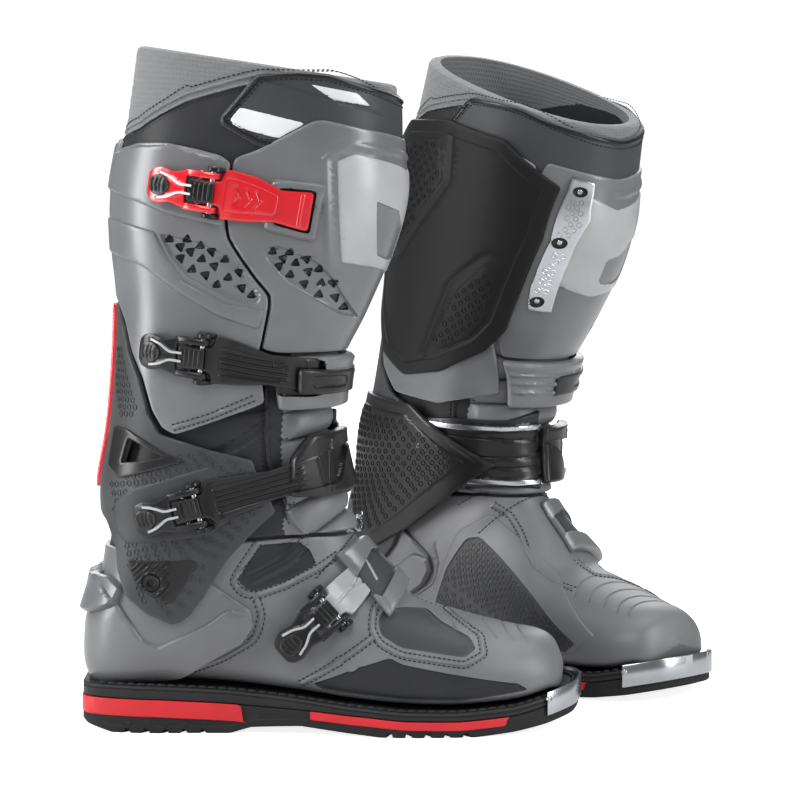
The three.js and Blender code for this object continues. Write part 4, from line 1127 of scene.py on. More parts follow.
ankleSpec = {
    "outer": (("back", 272), (28, 268), (32.5, 258), (36.5, 240), (42.5, 224), (47.5, 203), (53.5, 191),
              (82.2, 182), (110, 175), (111.3, 168.5), (123.5, 142), (116.2, 136), (109, 129), (94.8, 113.5),
              (87.5, 102), (78.3, 87.8), (70, 75.5), (59.9, 70.3), (43.4, 77.6), (31, 87.8), (27, 103.2),
              (26.5, 116.6), (20.8, 133.9), ("back", 142)),
    "inner": (("back", 272), (28, 268), (32.5, 258), (38, 238), (47.5, 212), (66, 196), (90, 191), (90, 118),
              (78.3, 87.8), (70, 75.5), (59.9, 70.3), (43.4, 77.6), (31, 87.8), (27, 103.2), (26.5, 116.6),
              (20.8, 133.9), ("back", 142)),
    "window": ((36.2, 187.3), (31.5, 171), (56, 177)),
    "windowFrame": ((28, 194), (35.5, 193), (56, 180), (69, 174.5), (30, 161.5), (23.5, 168)),
    "armRim": ((47, 206), (53, 196), (62, 189.6), (86, 186), (108, 179)),
    "hexes": ((34, 168), (50, 176), (78, 184), (104, 176), (112, 160), (118, 144), (104, 130), (86, 108),
              (66, 76), (59, 73), (44, 80), (33, 90), (30, 118), (24, 136), (22, 158)),
    "upperHexes": ((32, 250), (36, 236), (44, 208), (40, 196), (28, 197), (27, 222), (29, 246)),
    "saddle": ((27, 147), (36, 156), (84, 172), (92, 160), (98, 140), (84, 128), (34, 120), (26.5, 128)),
    "pivotCover": ((33, 110.2), (73.5, 112.4), (75.6, 109.6), (60, 84.6), (54.4, 84.2), (38.8, 94)),
    "pivotRibs": ((34, 108), (57, 109), (58, 86), (54.4, 85.6), (39.6, 95)),
    "pivotAt": (47.6, 97.0),
}


def makeAnkleShell():
    spec = ankleSpec
    face = shellFaces["shell"]
    loop = wrapTrace(spec["outer"], spec["inner"], throughBack=True)
    window = closedTrace(spec["window"], -1, 1)
    saddle = closedTrace(spec["saddle"], -1, 3)
    cover = closedTrace(spec["pivotCover"], -1)
    marks = [
        ridge(softTrace(spec["armRim"], -1, 4), 2.2, 1.2),
        plateau(saddle, 0.8, 1.4, tint=1),
        plateau(cover, -0.9, 0.7),
    ]
    shape = makeSheet(formSurface, [loop, window], face, shellFaces["wall"], marks, pitch=2.3)
    addPair("ankleShell", shape, [finish["slateLeather"], finish["slateLeather"]], "cuff", "cuff",
            ["ankle_shell"])
    hexes = closedTrace(spec["hexes"], -1)
    embossPatch("ankleHexes", hexes, face + 0.05, "cuff", "cuff", "slateLeather", keepOut=(saddle, cover))
    embossPatch("spineHexes", closedTrace(spec["upperHexes"], -1), face + 0.05, "cuff", "cuff",
                "slateLeather")
    border = closedTrace(spec["windowFrame"], -1, 1)
    windowRing = makeSheet(formSurface, [border, window], face + 1.7, 2.4, pitch=2.2, rounding=0.9)
    addPair("windowFrame", windowRing, [finish["blackPlastic"]], "cuff", "cuff")


def makePivot():
    spec = ankleSpec
    face = shellFaces["shell"]
    cover = closedTrace(spec["pivotCover"], -1, 2)
    v, a = locate([spec["pivotAt"]], -1)
    centre, normal = skin(v, a)[0], skinNormal(v, a)[0]
    turn = np.linspace(0, 2 * math.pi, 40, endpoint=False)
    x, z = spec["pivotAt"]
    bore = closedTrace([(x + 5.6 * math.cos(t), z + 5.6 * math.sin(t)) for t in turn], -1, 0)
    marks = []
    ribs = np.array(spec["pivotRibs"], float)
    for k in np.arange(-34.0, 34.0, 2.6):
        t = np.linspace(-34, 34, 60)
        line = np.stack([x + 0.707 * (t + k), z + 0.707 * (t - k)], -1)
        line = line[insideOf(line, ribs)]
        if len(line) > 4:
            marks.append(ridge(toChart(*locate(line, -1)), 0.8, 0.7))
    shape = makeSheet(formSurface, [cover, bore], face + 0.7, 1.8, marks, pitch=2.0, rounding=0.8)
    addPair("pivotCover", shape, [finish["blackPlastic"]], "cuff", "cuff")
    head = turnedShape([(5.2, -4), (5.2, 0.6), (4.7, 1.1), (3.0, 1.1), (2.4, 0.9), (2.3, -0.6)], corners=24)
    heading = unit(np.cross([0.0, 0, 1], normal))
    addField("pivotBolt", head, np.array([centre + normal * (face + 0.4)]), np.array([normal]),
             np.array([heading]),
             "foot", "foot", "blackPlastic", replaced=["pivot_bolt_outer"])


makeAnkleShell()
makePivot()
print("ankle made")

calfSpec = {
    "outer": (("back", 374), (27, 366), (43, 372), (60, 372.5), (77, 369), (92.6, 365), (99, 360), (98, 357),
              (94.5, 325), (96, 314), (102, 303.5), (111.5, 289.5), (120.3, 278.6), (120.3, 272),
              (115.5, 249), (114, 244), (117, 211.8), (110, 208.4), (63, 191), (55.6, 195), (49.7, 206),
              (44.5, 226), (38.3, 242), (34.3, 261), (30, 272), ("back", 278)),
    "inner": (("back", 374), (43, 378), (90, 388), (140, 392), (172, 378), (157, 285), (147, 262), (147, 215),
              (110, 200), (70, 199), (52, 214), (43, 240), (36, 262), (30, 272), ("back", 278)),
    "vent": ((55.3, 317.1), (80.3, 312), (102, 300), (109, 290.4), (117, 277.1), (113, 272), (96.9, 277.1),
             (72.2, 290.4), (61.8, 302.8)),
    "upperShelf": (("back", 342), (25.3, 342.5), (62, 328.3), (95, 321), (99, 358), (92, 364), (77, 368),
                   (60, 371), (43, 370), (27, 364), ("back", 372)),
    "lowerShelf": ((26, 304), (46, 296), (68, 280), (90, 266), (114, 258), (118, 270), (96, 274), (70, 288),
                   (60, 303), (53, 318), (25, 326)),
    "hemSeam": ((63, 196), (84, 203), (110, 214.5)),
    "holes": ((61, 313.3), (67.5, 308.5), (72, 313.4), (73.6, 305.6), (79.8, 309.5), (67.6, 301.5),
              (80.5, 301.2), (86.5, 305.8), (74.6, 294.8), (88, 296.8), (94.5, 301), (82.6, 291.2),
              (96.2, 289.8), (103, 293.2), (89.4, 285.4), (104.4, 283.4), (110.4, 279)),
    "holeSize": 4.3,
}
shinSpec = {
    "outer": ((101.4, 363.7), (113.7, 367.7), (149, 386.4), (156, 386.4), (178, 381), ("front", 373)),
    "outerLow": (("front", 243), (126, 243), (115.8, 245.5), (117.3, 249.4), (122, 272), (122, 279.3),
                 (113.2, 290.4), (103.8, 304.2), (97.7, 314.5), (96.2, 324.8), (99.8, 358.6), (101.4, 363.7)),
    "inner": (("front", 373), (178, 381), (175, 372), (160, 285), (150, 262), (150, 243), ("front", 243)),
    "vent": ((119, 309), (127.3, 310.2), (150.2, 299.7), (158.3, 290.4), (171.7, 265), (162.5, 266.9),
             (130.7, 287.4), (118.4, 302)),
    "holes": ((123.4, 306), (129.6, 301.6), (133.6, 305.6), (127, 297), (137, 299), (143.4, 301.4),
              (133.6, 291.8), (144.4, 293.6), (150.6, 295.2), (141.8, 286), (151.8, 286.6), (158.6, 286.4),
              (150.2, 279.4), (159.8, 277.4), (164.4, 271.4)),
    "holeSize": 4.1,
    "badge": ((163.5, 299.5), (161.7, 361), (172.1, 365.8), ("front", 352)),
    "badgeLow": (("front", 292), (178, 297)),
    "badgeFrame": ((156.5, 296), (155, 364), (170, 371.5), ("front", 362)),
    "shade": ((184, 337), (196, 331), (198, 313), (190, 300), (183, 304)),
}


# small leaning triangles, point up and point down in turn
def ventHoles(spots, size, side):
    loops = []
    for k, (x, z) in enumerate(spots):
        up = 1 if k % 2 else -1
        corners = [(x - size * 0.9, z + 0.42 * size * up), (x + size * 0.8, z + (0.62 * up + 0.1) * size),
                   (x + size * 0.25, z - size * 0.95 * up)]
        loops.append(closedTrace([*corners], side, 1))
    return loops


def makeCalfShell():
    spec = calfSpec
    face = shellFaces["shell"]
    loop = wrapTrace(spec["outer"], spec["inner"], throughBack=True)
    marks = [plateau(closedTrace(spec["upperShelf"], -1, 1), 1.8, 1.2)]
    marks.append(plateau(closedTrace(spec["lowerShelf"], -1, 1), 1.6, 1.3))
    marks.append(plateau(closedTrace(spec["vent"], -1), -1.7, 1.3))
    marks += [plateau(hole, -1.5, 0.6, tint=1) for hole in ventHoles(spec["holes"], spec["holeSize"], -1)]
    hem = softTrace(spec["hemSeam"], -1, 4)
    marks.append(ridge(hem, 1.2, 0.8))
    doubleSeam("cuff", "cuff", hem, face + 0.3)
    shape = makeSheet(formSurface, [loop], face, shellFaces["wall"], marks, pitch=2.3, rounding=1.2)
    addPair("calfShell", shape, [finish["greyShell"], finish["blackPlastic"]], "cuff", "cuff",
            ["calf_shell"])


def makeShinPlate():
    spec = shinSpec
    face = shellFaces["shell"]
    # the outline goes up the outer edge, over the front, and back along the inner side
    outerUp = trace([*spec["outerLow"], *spec["outer"][1:]], -1)
    innerDown = trace(spec["inner"], 1)
    loop = turnedLeft(soften(np.concatenate([outerUp[:-1], innerDown[:-1]]), 2))
    badge = turnedLeft(soften(np.concatenate([
        trace([*spec["badgeLow"], *spec["badge"]], -1)[:-1],
        trace([*spec["badge"]][::-1], 1)[:-1] * [0.55, 1],
        trace([*spec["badgeLow"]][::-1], 1)[:-1] * [0.55, 1],
    ]), 1))
    strap = buckles[1]["strap"]
    boss = closedTrace(sideRibbon(strap[-2:], 6.2), -1, 3)
    pocket = closedTrace(sideRibbon(strap[-2:], 1.5), -1, 2)
    marks = [
        plateau(boss, 2.6, 2.4), plateau(pocket, -2.4, 0.6, tint=1),
        ridge(softTrace(spec["badgeFrame"], -1, 2), 2.6, 1.2),
        plateau(badge, 0.9, 0.9, tint=2),
        plateau(closedTrace(spec["shade"], -1, 1), -0.8, 0.8, tint=3),
        plateau(closedTrace(spec["vent"], -1), -1.7, 1.3),
    ]
    marks += [plateau(hole, -1.5, 0.6, tint=1) for hole in ventHoles(spec["holes"], spec["holeSize"], -1)]
    shape = makeSheet(formSurface, [loop], face, shellFaces["wall"], marks, pitch=2.3, rounding=1.4)
    materials = [finish["greyShell"], finish["blackPlastic"], finish["paleGrey"], finish["greyShell"]]
    addPair("shinPlate", shape, materials, "cuff", "cuff", ["shin_plate"])


# centre line and width of each strap, from just ahead of its lever to its end
buckles = {
    1: {"tail": (42.6, 349), "nose": (92, 341.7), "body": "cuff",
        "strap": [(97, 341, 31), (112, 338, 28), (127, 334, 20), (146, 330.5, 24)]},
    2: {"tail": (39.5, 245.9), "nose": (84.7, 239.7), "body": "cuff",
        "strap": [(90, 239, 30), (104, 236, 26), (120, 233, 19), (145, 229, 23)]},
    3: {"tail": (33, 133.2), "nose": (80.3, 148), "body": "cuff",
        "strap": [(86, 150, 28), (99, 154, 25), (121, 160, 18), (153, 168, 22)]},
    4: {"tail": (126, 49.5), "nose": (161.6, 81.5), "body": "foot",
        "strap": [(165, 85, 24), (172, 92, 22), (180, 99, 19), (188, 104, 20)]},
}
makeCalfShell()
makeShinPlate()
print("shells made")


# screws set into the form at side-view spots
def screwsAt(name, spots, side, base, body, size=1.0, replaced=(), shape=None):
    v, a = locate(spots, side)
    p, n = skin(v, a), skinNormal(v, a)
    ahead = unit(np.cross([0.0, 0, 1], n) + [0.1, 0, 0.3])
    part = "foot" if body == "foot" else "cuff"
    addField(name, screwShape if shape is None else shape, p + n * base, n, ahead, part, body, "steel",
             size, replaced)


guardSpec = {
    "heat": ((37, 366), (60, 390), (100, 397), (150, 392), (186, 366), (180, 330), (168, 296), (156, 264),
             (142, 246), (112, 224), (80, 214), (56, 224), (42, 252), (35, 300)),
    "heatPanel": ((43, 362), (63, 382), (100, 389), (147, 384), (178, 362), (172, 331), (160, 298),
                  (149, 268), (137, 253), (110, 233), (82, 223), (61, 231), (48, 256), (42, 302)),
    "heatHexes": (((47, 360), (66, 378), (98, 384), (104, 356), (84, 330), (66, 300), (46, 292)),
                  ((112, 240), (134, 254), (146, 270), (156, 298), (146, 306), (124, 284), (104, 244))),
    "heatCrease": ((47, 286), (66, 296), (88, 326), (110, 356), (108, 388)),
    "heatCreaseLow": ((96, 232), (118, 288), (146, 314), (163, 312)),
    "ankle": ((18, 180), (34, 189), (88, 195), (150, 164), (96, 108), (62, 83), (40, 82), (26, 100)),
    "anklePanel": ((25, 174), (37, 181), (86, 187), (134, 163), (90, 118), (60, 92), (42, 92), (32, 108)),
    "ankleRim": ((142, 166), (92, 198), (36, 192)),
    "ankleScrews": ((100, 168), (50, 104)),
    "innerBolt": ((47.6, 97),),
    "plate": ((197, 371), (190, 374), (183.5, 331), (171.5, 297), (168, 281), (177, 281), (190, 318),
              (198, 345)),
    "plateHexes": ((196, 369), (191, 371), (185, 331), (173, 297), (170, 283), (176, 283), (189, 318),
                   (197, 345)),
    "plateScrews": ((193.2, 364), (187.5, 330), (173.4, 288)),
}


def makeGuards():
    spec = guardSpec
    face = shellFaces["guard"]
    hexes = [closedTrace(patch, 1) for patch in spec["heatHexes"]]
    marks = [plateau(closedTrace(spec["heatPanel"], 1), -0.9, 1.4)]
    marks += [plateau(patch, 0.6, 0.8) for patch in hexes]
    marks += [ridge(softTrace(spec[key], 1, 5), 2.6, -0.8) for key in ("heatCrease", "heatCreaseLow")]
    heat = closedTrace(spec["heat"], 1)
    shape = makeSheet(formSurface, [heat], face, 3.1, marks, pitch=2.5, rounding=1.6)
    addPair("heatGuard", shape, [finish["gripRubber"]], "cuff", "cuff", ["heat_guard"])
    for k, patch in enumerate(hexes):
        embossPatch(f"heatHexes{k + 1}", patch, face - 0.3, "cuff", "cuff", "gripRubber", pitch=5.2)

    panel = closedTrace(spec["anklePanel"], 1)
    marks = [plateau(panel, 0.7, 0.9), ridge(softTrace(spec["ankleRim"], 1, 4), 3.0, 1.0)]
    shape = makeSheet(formSurface, [closedTrace(spec["ankle"], 1)], face, 3.1, marks, pitch=2.4, rounding=1.5)
    addPair("ankleGuard", shape, [finish["blackPlastic"]], "cuff", "cuff", ["ankle_guard"])
    embossPatch("ankleGuardHexes", panel, face + 0.65, "cuff", "cuff", "gripRubber", pitch=5.0)
    screwsAt("ankleScrews", spec["ankleScrews"], 1, face - 0.1, "cuff", 0.85)
    bolt = turnedShape([(6.5, -3), (6.5, 0.4), (6.0, 0.9), (3.4, 0.9), (2.9, 0.6), (2.6, -0.8)], corners=24)
    screwsAt("innerBolt", spec["innerBolt"], 1, face - 0.2, "foot", 1.0, ["pivot_bolt_inner"], shape=bolt)

    plate = closedTrace(spec["plate"], 1, 1)
    holes = []
    for x, z in spec["plateScrews"]:
        turn = np.linspace(0, 2 * math.pi, 24, endpoint=False)
        v, a = locate([(x, z)], 1)
        middle = toChart(v, a)[0]
        holes.append(middle + 3.9 * np.stack([np.cos(turn), np.sin(turn)], -1))
    marks = [plateau(hole, -1.6, 0.7, tint=1) for hole in holes]
    shape = makeSheet(formSurface, [plate], face, 3.1, marks, pitch=2.0, rounding=0.9)
    addPair("sidePlate", shape, [finish["steel"], finish["blackPlastic"]], "cuff", "cuff", ["side_plate"])
    embossPatch("plateHexes", closedTrace(spec["plateHexes"], 1, 1), face, "cuff", "cuff", "steel", pitch=4.2,
                keepOut=[hole.mean(0) + (hole - hole.mean(0)) * 1.5 for hole in holes])
    screwsAt("plateScrews", spec["plateScrews"], 1, face - 1.7, "cuff", 0.8)


makeGuards()
print("guards made")

bandSpec = {
    "spine": (152, 271),  # heights of the strip's ends on the back line
    "catch2Outer": (("front", 241.5), (150, 241.5), (121.5, 241), (124.5, 207.5), (150, 207), ("front", 207)),
    "catch2Inner": (("front", 241.5), (150, 241.5), (150, 207), ("front", 207)),
    "catch2Pocket": ((122, 243), (141, 241), (148, 240.5), (148, 217), (141, 215.5), (122, 217)),
    "catch2Ridges": (233, 226, 219),
    "catch3": ((131, 152), (131, 176), (141, 190), (165, 192), (170, 188), (170, 153), (165, 150)),
    "catch3Pocket": ((130, 155), (156, 158), (158, 181), (134, 175)),
    "catch4": ((161, 112), (175, 120), (212, 98), (196, 74)),
    "catch4Pocket": ((172, 92), (181, 111), (199, 101), (190, 84)),
    "bandInner": (("front", 203), (150, 195.5), (120, 192), (93, 186), (92.5, 140), (150, 148),
                  ("front", 147)),
    "bandStrips": (((100, 184), (150, 190), (176, 195)), ((100, 146), (150, 152), (170, 152))),
    "bandLines": (178, 165, 158),
    "stripRidge": 3.0,
    "bandWall": 2.9,
    "catchWall": 6.5,
    "spineWall": 2.2,
}


def makeSpine():
    low, high = bandSpec["spine"]
    levels = np.linspace(sliceAtHeight(low, math.pi), sliceAtHeight(high, math.pi), 60)
    centre = toChart(levels, np.full(60, -math.pi))
    left = besidePath(formSurface, centre, 2.5, False)
    right = besidePath(formSurface, centre, -2.5, False)
    loop = turnedLeft(soften(np.concatenate([left, right[::-1]]), 1))
    shape = makeSheet(formSurface, [loop], 8.2, bandSpec["spineWall"], [ridge(centre[2:-2], 1.2, 0.5)],
                      pitch=1.7, rounding=0.8)
    addPair("spineStrip", shape, [finish["redPlastic"]], "cuff", "cuff", ["spine_strip"])


def makeCatches():
    spec = bandSpec
    high = shellFaces["shell"] + spec["catchWall"]
    loop = wrapTrace(spec["catch2Outer"], spec["catch2Inner"])
    marks = [plateau(closedTrace(spec["catch2Pocket"], -1), -4.2, 0.7, tint=1)]
    for z in spec["catch2Ridges"]:
        marks.append(ridge(softTrace(((152, z), (176, z), ("front", z)), -1, 2), 1.5, 0.9))
        marks.append(ridge(softTrace((("front", z), (176, z), (152, z)), 1, 2), 1.5, 0.9))
    shape = makeSheet(formSurface, [loop], high, 6.3, marks, pitch=2.3, rounding=2.2)
    addPair("catch2", shape, [finish["greyShell"], finish["blackPlastic"]], "cuff", "cuff", ["catch_2"])
    inner = closedTrace(sideRibbon([(134, 226, 17), (161, 224.5, 17)]), -1, 4)
    shape = makeSheet(formSurface, [inner], high + 2.4, 4.0, [
        plateau(closedTrace(sideRibbon([(140, 226, 9), (156, 225, 9)]), -1, 3), -1.0, 0.8)], pitch=2.0,
                      rounding=1.6)
    addPair("catch2Block", shape, [finish["blackPlastic"]], "cuff", "cuff")

    pocket = closedTrace(spec["catch3Pocket"], -1)
    marks = [plateau(pocket, -3.4, 0.7), ridge(softTrace(((150, 186), (152, 154)), -1, 1), 1.2, 0.7)]
    shape = makeSheet(formSurface, [closedTrace(spec["catch3"], -1)], high, spec["catchWall"], marks,
                      pitch=2.1, rounding=2.0)
    addPair("catch3", shape, [finish["blackPlastic"]], "cuff", "cuff", ["catch_3"])

    marks = [plateau(closedTrace(spec["catch4Pocket"], -1, 1), -3.0, 0.8, tint=1),
             ridge(softTrace(((190, 112), (205, 92)), -1, 1), 1.6, 0.9)]
    shape = makeSheet(formSurface, [closedTrace(spec["catch4"], -1)], 5.9, 6.6, marks, pitch=2.1,
                      rounding=2.4)
    addPair("catch4", shape, [finish["greyShell"], finish["slateLeather"]], "foot", "foot", ["catch_4"])


def makeBand():
    spec = bandSpec
    inner = trace(spec["bandInner"], 1)
    front = np.array([toChart(sliceAtHeight(z, 0), 0.02) for z in np.linspace(147, 203, 40)])
    loop = turnedLeft(soften(np.concatenate([inner[1:-1], front]), 1))
    marks = [ridge(softTrace(strip, 1, 2), spec["stripRidge"], 1.0) for strip in spec["bandStrips"]]
    for z in spec["bandLines"]:
        marks.append(ridge(softTrace(((98, z), (140, z + 3), (172, z + 5)), 1, 2), 1.1, -0.8))
    shape = makeSheet(formSurface, [loop], shellFaces["shell"] - 0.3, spec["bandWall"], marks, pitch=2.3,
                      rounding=1.2)
    addPair("ankleBand", shape, [finish["blackPlastic"]], "cuff", "cuff", ["ankle_band"])
    for k, strip in enumerate(spec["bandStrips"]):
        path = softTrace(strip, 1, 2)
        left = besidePath(formSurface, path, 1.9, False)
        right = besidePath(formSurface, path, -1.9, False)
        edge = turnedLeft(np.concatenate([left, right[::-1]]))
        strip = makeSheet(formSurface, [edge], shellFaces["shell"] + 1.2, 1.6, pitch=1.8, rounding=0.6)
        addPair(f"bandEdge{k + 1}", strip, [finish["steel"]], "cuff", "cuff")


makeSpine()
makeCatches()
makeBand()
print("catches made")

collarSpec = {
    "arc": ((0, 388), (0.5, 398), (1.1, 409), (1.57, 410.5), (2.1, 398), (2.6, 381),
            (3.1416, 373)),  # angle, height
    "low": 352,
    "top": 22.0,  # slice
    "wall": 7.2,
    "patch": (("front", 400), (180, 408), (158, 415), (141.4, 416.5), (118, 416), (113, 413), (92, 388),
              (92, 384), (116, 370), (150, 368), ("front", 366)),
    "patchStripe": ((98, 386), (104, 394.5), (143.7, 384.5), (127.2, 375.5), (103, 382)),
    "patchWedge": ((146.7, 408.5), (174, 403), (182, 395), (160, 399)),
    "patchGroove": ((120.4, 411), (150, 402), (180, 393), (190, 389)),
    "linings": {"cuff": (12.6, 20.6),
                "foot": (2.0, 12.4)},  # slices between which each tube inside the boot runs
}


def makeCollar():
    spec = collarSpec
    arc = np.array(spec["arc"])
    arcHeight = lambda a: np.interp(abs(a), arc[:, 0], arc[:, 1])
    loop = ringLoop(levelLine(lambda x, a: 0 * x + spec["low"]), flatLine(spec["top"]), rows=50)
    line = levelLine(lambda x, a: 0 * x + arcHeight(a))
    upper = levelLine(lambda x, a: 0 * x + arcHeight(a) + 4.6)
    marks = [ridge(soften(line, 2, False), 1.4, 1.2), ridge(soften(upper, 2, False), 1.1, 0.9)]

    def padding(chart, points, edge):
        a = fromChart(chart)[1]
        over = points[:, 2] - np.interp(np.abs(a), arc[:, 0], arc[:, 1])
        channels = 0.5 * np.abs(np.sin(over / 7.0 * math.pi)) * (over > 4)
        return np.where(over < 0, 0.7, channels)

    shape = makeSheet(formSurface, [loop], 1.2, spec["wall"], marks, pitch=2.3, rounding=3.4, extra=padding,
                      seam=chartSeam)
    centres = shape["flat"][shape["faces"]].mean(1)
    v, a = fromChart(centres)
    low = skin(v, a)[:, 2] < np.interp(np.abs(a), arc[:, 0], arc[:, 1])
    shape["tints"] = low.astype(int)
    addPair("collar", shape, [finish["knitCloth"], finish["darkLeather"]], "cuff", "cuff", ["liner"])
    for offset in (-2.6, 7.4):
        sewLine("cuff", "cuff", besidePath(formSurface, line, offset, False), 1.8)

    loop = wrapTrace(spec["patch"], spec["patch"])
    border = besidePath(formSurface, loop, 2.6, True)
    sewLine("cuff", "cuff", besidePath(formSurface, loop, 5.0, True), 4.1, closed=True)
    marks = [ridge(border, 1.5, 1.0, closed=True, tint=2),
             plateau(closedTrace(spec["patchStripe"], -1, 1), 0.5, 0.6, tint=1),
             plateau(closedTrace(spec["patchWedge"], -1, 1), 0.5, 0.6, tint=1),
             ridge(softTrace(spec["patchGroove"], -1, 3), 1.0, -0.7)]
    patch = makeSheet(formSurface, [loop], 3.9, 3.0, marks, pitch=2.3, rounding=1.3)
    addPair("collarPatch", patch, [finish["slateLeather"], finish["white"], finish["blackPlastic"]], "cuff",
            "cuff")

    for part, (first, last) in spec["linings"].items():
        loop = ringLoop(flatLine(first), flatLine(last), rows=90)
        tube = makeSheet(formSurface, [loop], -6.1, 3.0, pitch=4.5, rounding=1.0, seam=chartSeam)
        addPair(f"{part}Lining", tube, [finish["liningCloth"]], part, part)


makeCollar()
print("collar made")

soleSpec = {
    "top": ((-12, 31.5), (48, 30.5), (95, 28), (135, 24), (170, 19.5), (205, 16.5), (240, 16), (275, 18.5),
            (296, 23), (330, 30.5)),
    "widths": ((0, 0), (1, 22), (10, 34), (40, 41.5), (80, 41), (120, 43), (160, 50), (200, 57), (235, 58.5),
               (265, 55), (290, 46), (306, 33), (314, 20), (317.6, 0)),
    "tread": ((-12, 8), (2, 5), (20, 0), (95, 0), (108, 4), (140, 5.5), (165, 2.5), (190, 0), (250, 0),
              (275, 2.2), (296, 5.5), (330, 13)),
    "shift": ((0, 0), (200, 0), (240, 2.5), (275, 4.5), (296, 5.5), (330, 6)),
    "grooves": (30, 42, 54, 66, 78, 196, 208, 220, 232, 244),
    "groove": (4, 2.2),  # width and depth
    "heelInsert": (-1, 99),
    "frontInsert": (146, 272),
    "toePlateFrom": 296,
}


def catmull(table, steps=26):
    p = np.array(table, float)
    rows = []
    for i in range(len(p) - 1):
        p0, p1, p2, p3 = p[max(i - 1, 0)], p[i], p[i + 1], p[min(i + 2, len(p) - 1)]
        t = (np.arange(steps) / steps)[:, None]
        v0, v1 = (p2 - p0) / 2, (p3 - p1) / 2
        bend = (2 * p1 - 2 * p2 + v0 + v1) * t ** 3 + (-3 * p1 + 3 * p2 - 2 * v0 - v1) * t * t
        rows.append(bend + v0 * t + p1)
    return np.concatenate([*rows, p[-1:]])


def soleCurve(grow):
    p = catmull(soleSpec["widths"])
    p[:, 1] = np.maximum(p[:, 1], 0)
    t = unit(np.gradient(p, axis=0))
    out = p + np.stack([-t[:, 1], t[:, 0]], -1) * grow
    out[0], out[-1] = (-grow, 0), (p[-1, 0] + grow, 0)
    x = np.maximum.accumulate(out[:, 0])
    return x, np.maximum(out[:, 1], 0)


soleLine = lambda key, x: np.interp(x, *np.array(soleSpec[key], float).T)
soleRise = lambda x: soleLine("top", x)


def weltLow(x):
    t = np.clip((x - 90) / 100, 0, 1)
    return soleRise(x) - 0.4 - 8.5 * (1 - 0.35 * t * t * (3 - 2 * t))


def treadHeight(x):
    width, depth = soleSpec["groove"]
    height = soleLine("tread", x)
    for centre in soleSpec["grooves"]:
        height = np.where(np.abs(x - centre) < width / 2, np.maximum(height, depth), height)
    return height


# a length of the sole: rows of (how far outside the plan, height line), and the x where its sections stand
def soleLoft(rows, stations, lean=None):
    full = soleCurve(0)[0][-1]
    count = len(rows)
    rings = []
    for s, x0 in enumerate(stations):
        lateral, medial = [], []
        for k, (grow, height) in enumerate(rows):
            xs, halves = soleCurve(grow)
            x = xs[0] + (xs[-1] - xs[0]) * np.clip(x0 / full, 0, 1)
            if lean is not None:
                x += lean(s / (len(stations) - 1), k / (count - 1))
            half = float(np.interp(x, xs, halves))
            middle, z = float(soleLine("shift", x)), float(height(x))
            lateral.append((x, middle - half, z))
            medial.append((x, middle + half, z))
        rings.append(lateral + medial[::-1])
    size = 2 * count
    points = np.array(rings).reshape(-1, 3)
    faces = []
    for s in range(len(stations) - 1):
        for i in range(size):
            j = (i + 1) % size
            faces.append((s * size + i, (s + 1) * size + i, (s + 1) * size + j, s * size + j))
    for k in range(count - 1):  # the ends
        faces.append((k, k + 1, size - 2 - k, size - 1 - k))
        last = (len(stations) - 1) * size
        faces.append((last + k + 1, last + k, last + size - 1 - k, last + size - 2 - k))
    return plainShape(points, [f[::-1] for f in faces])


def rounded(first, last, count):
    t = (1 - np.cos(np.linspace(0, math.pi, count))) / 2
    return first + (last - first) * t


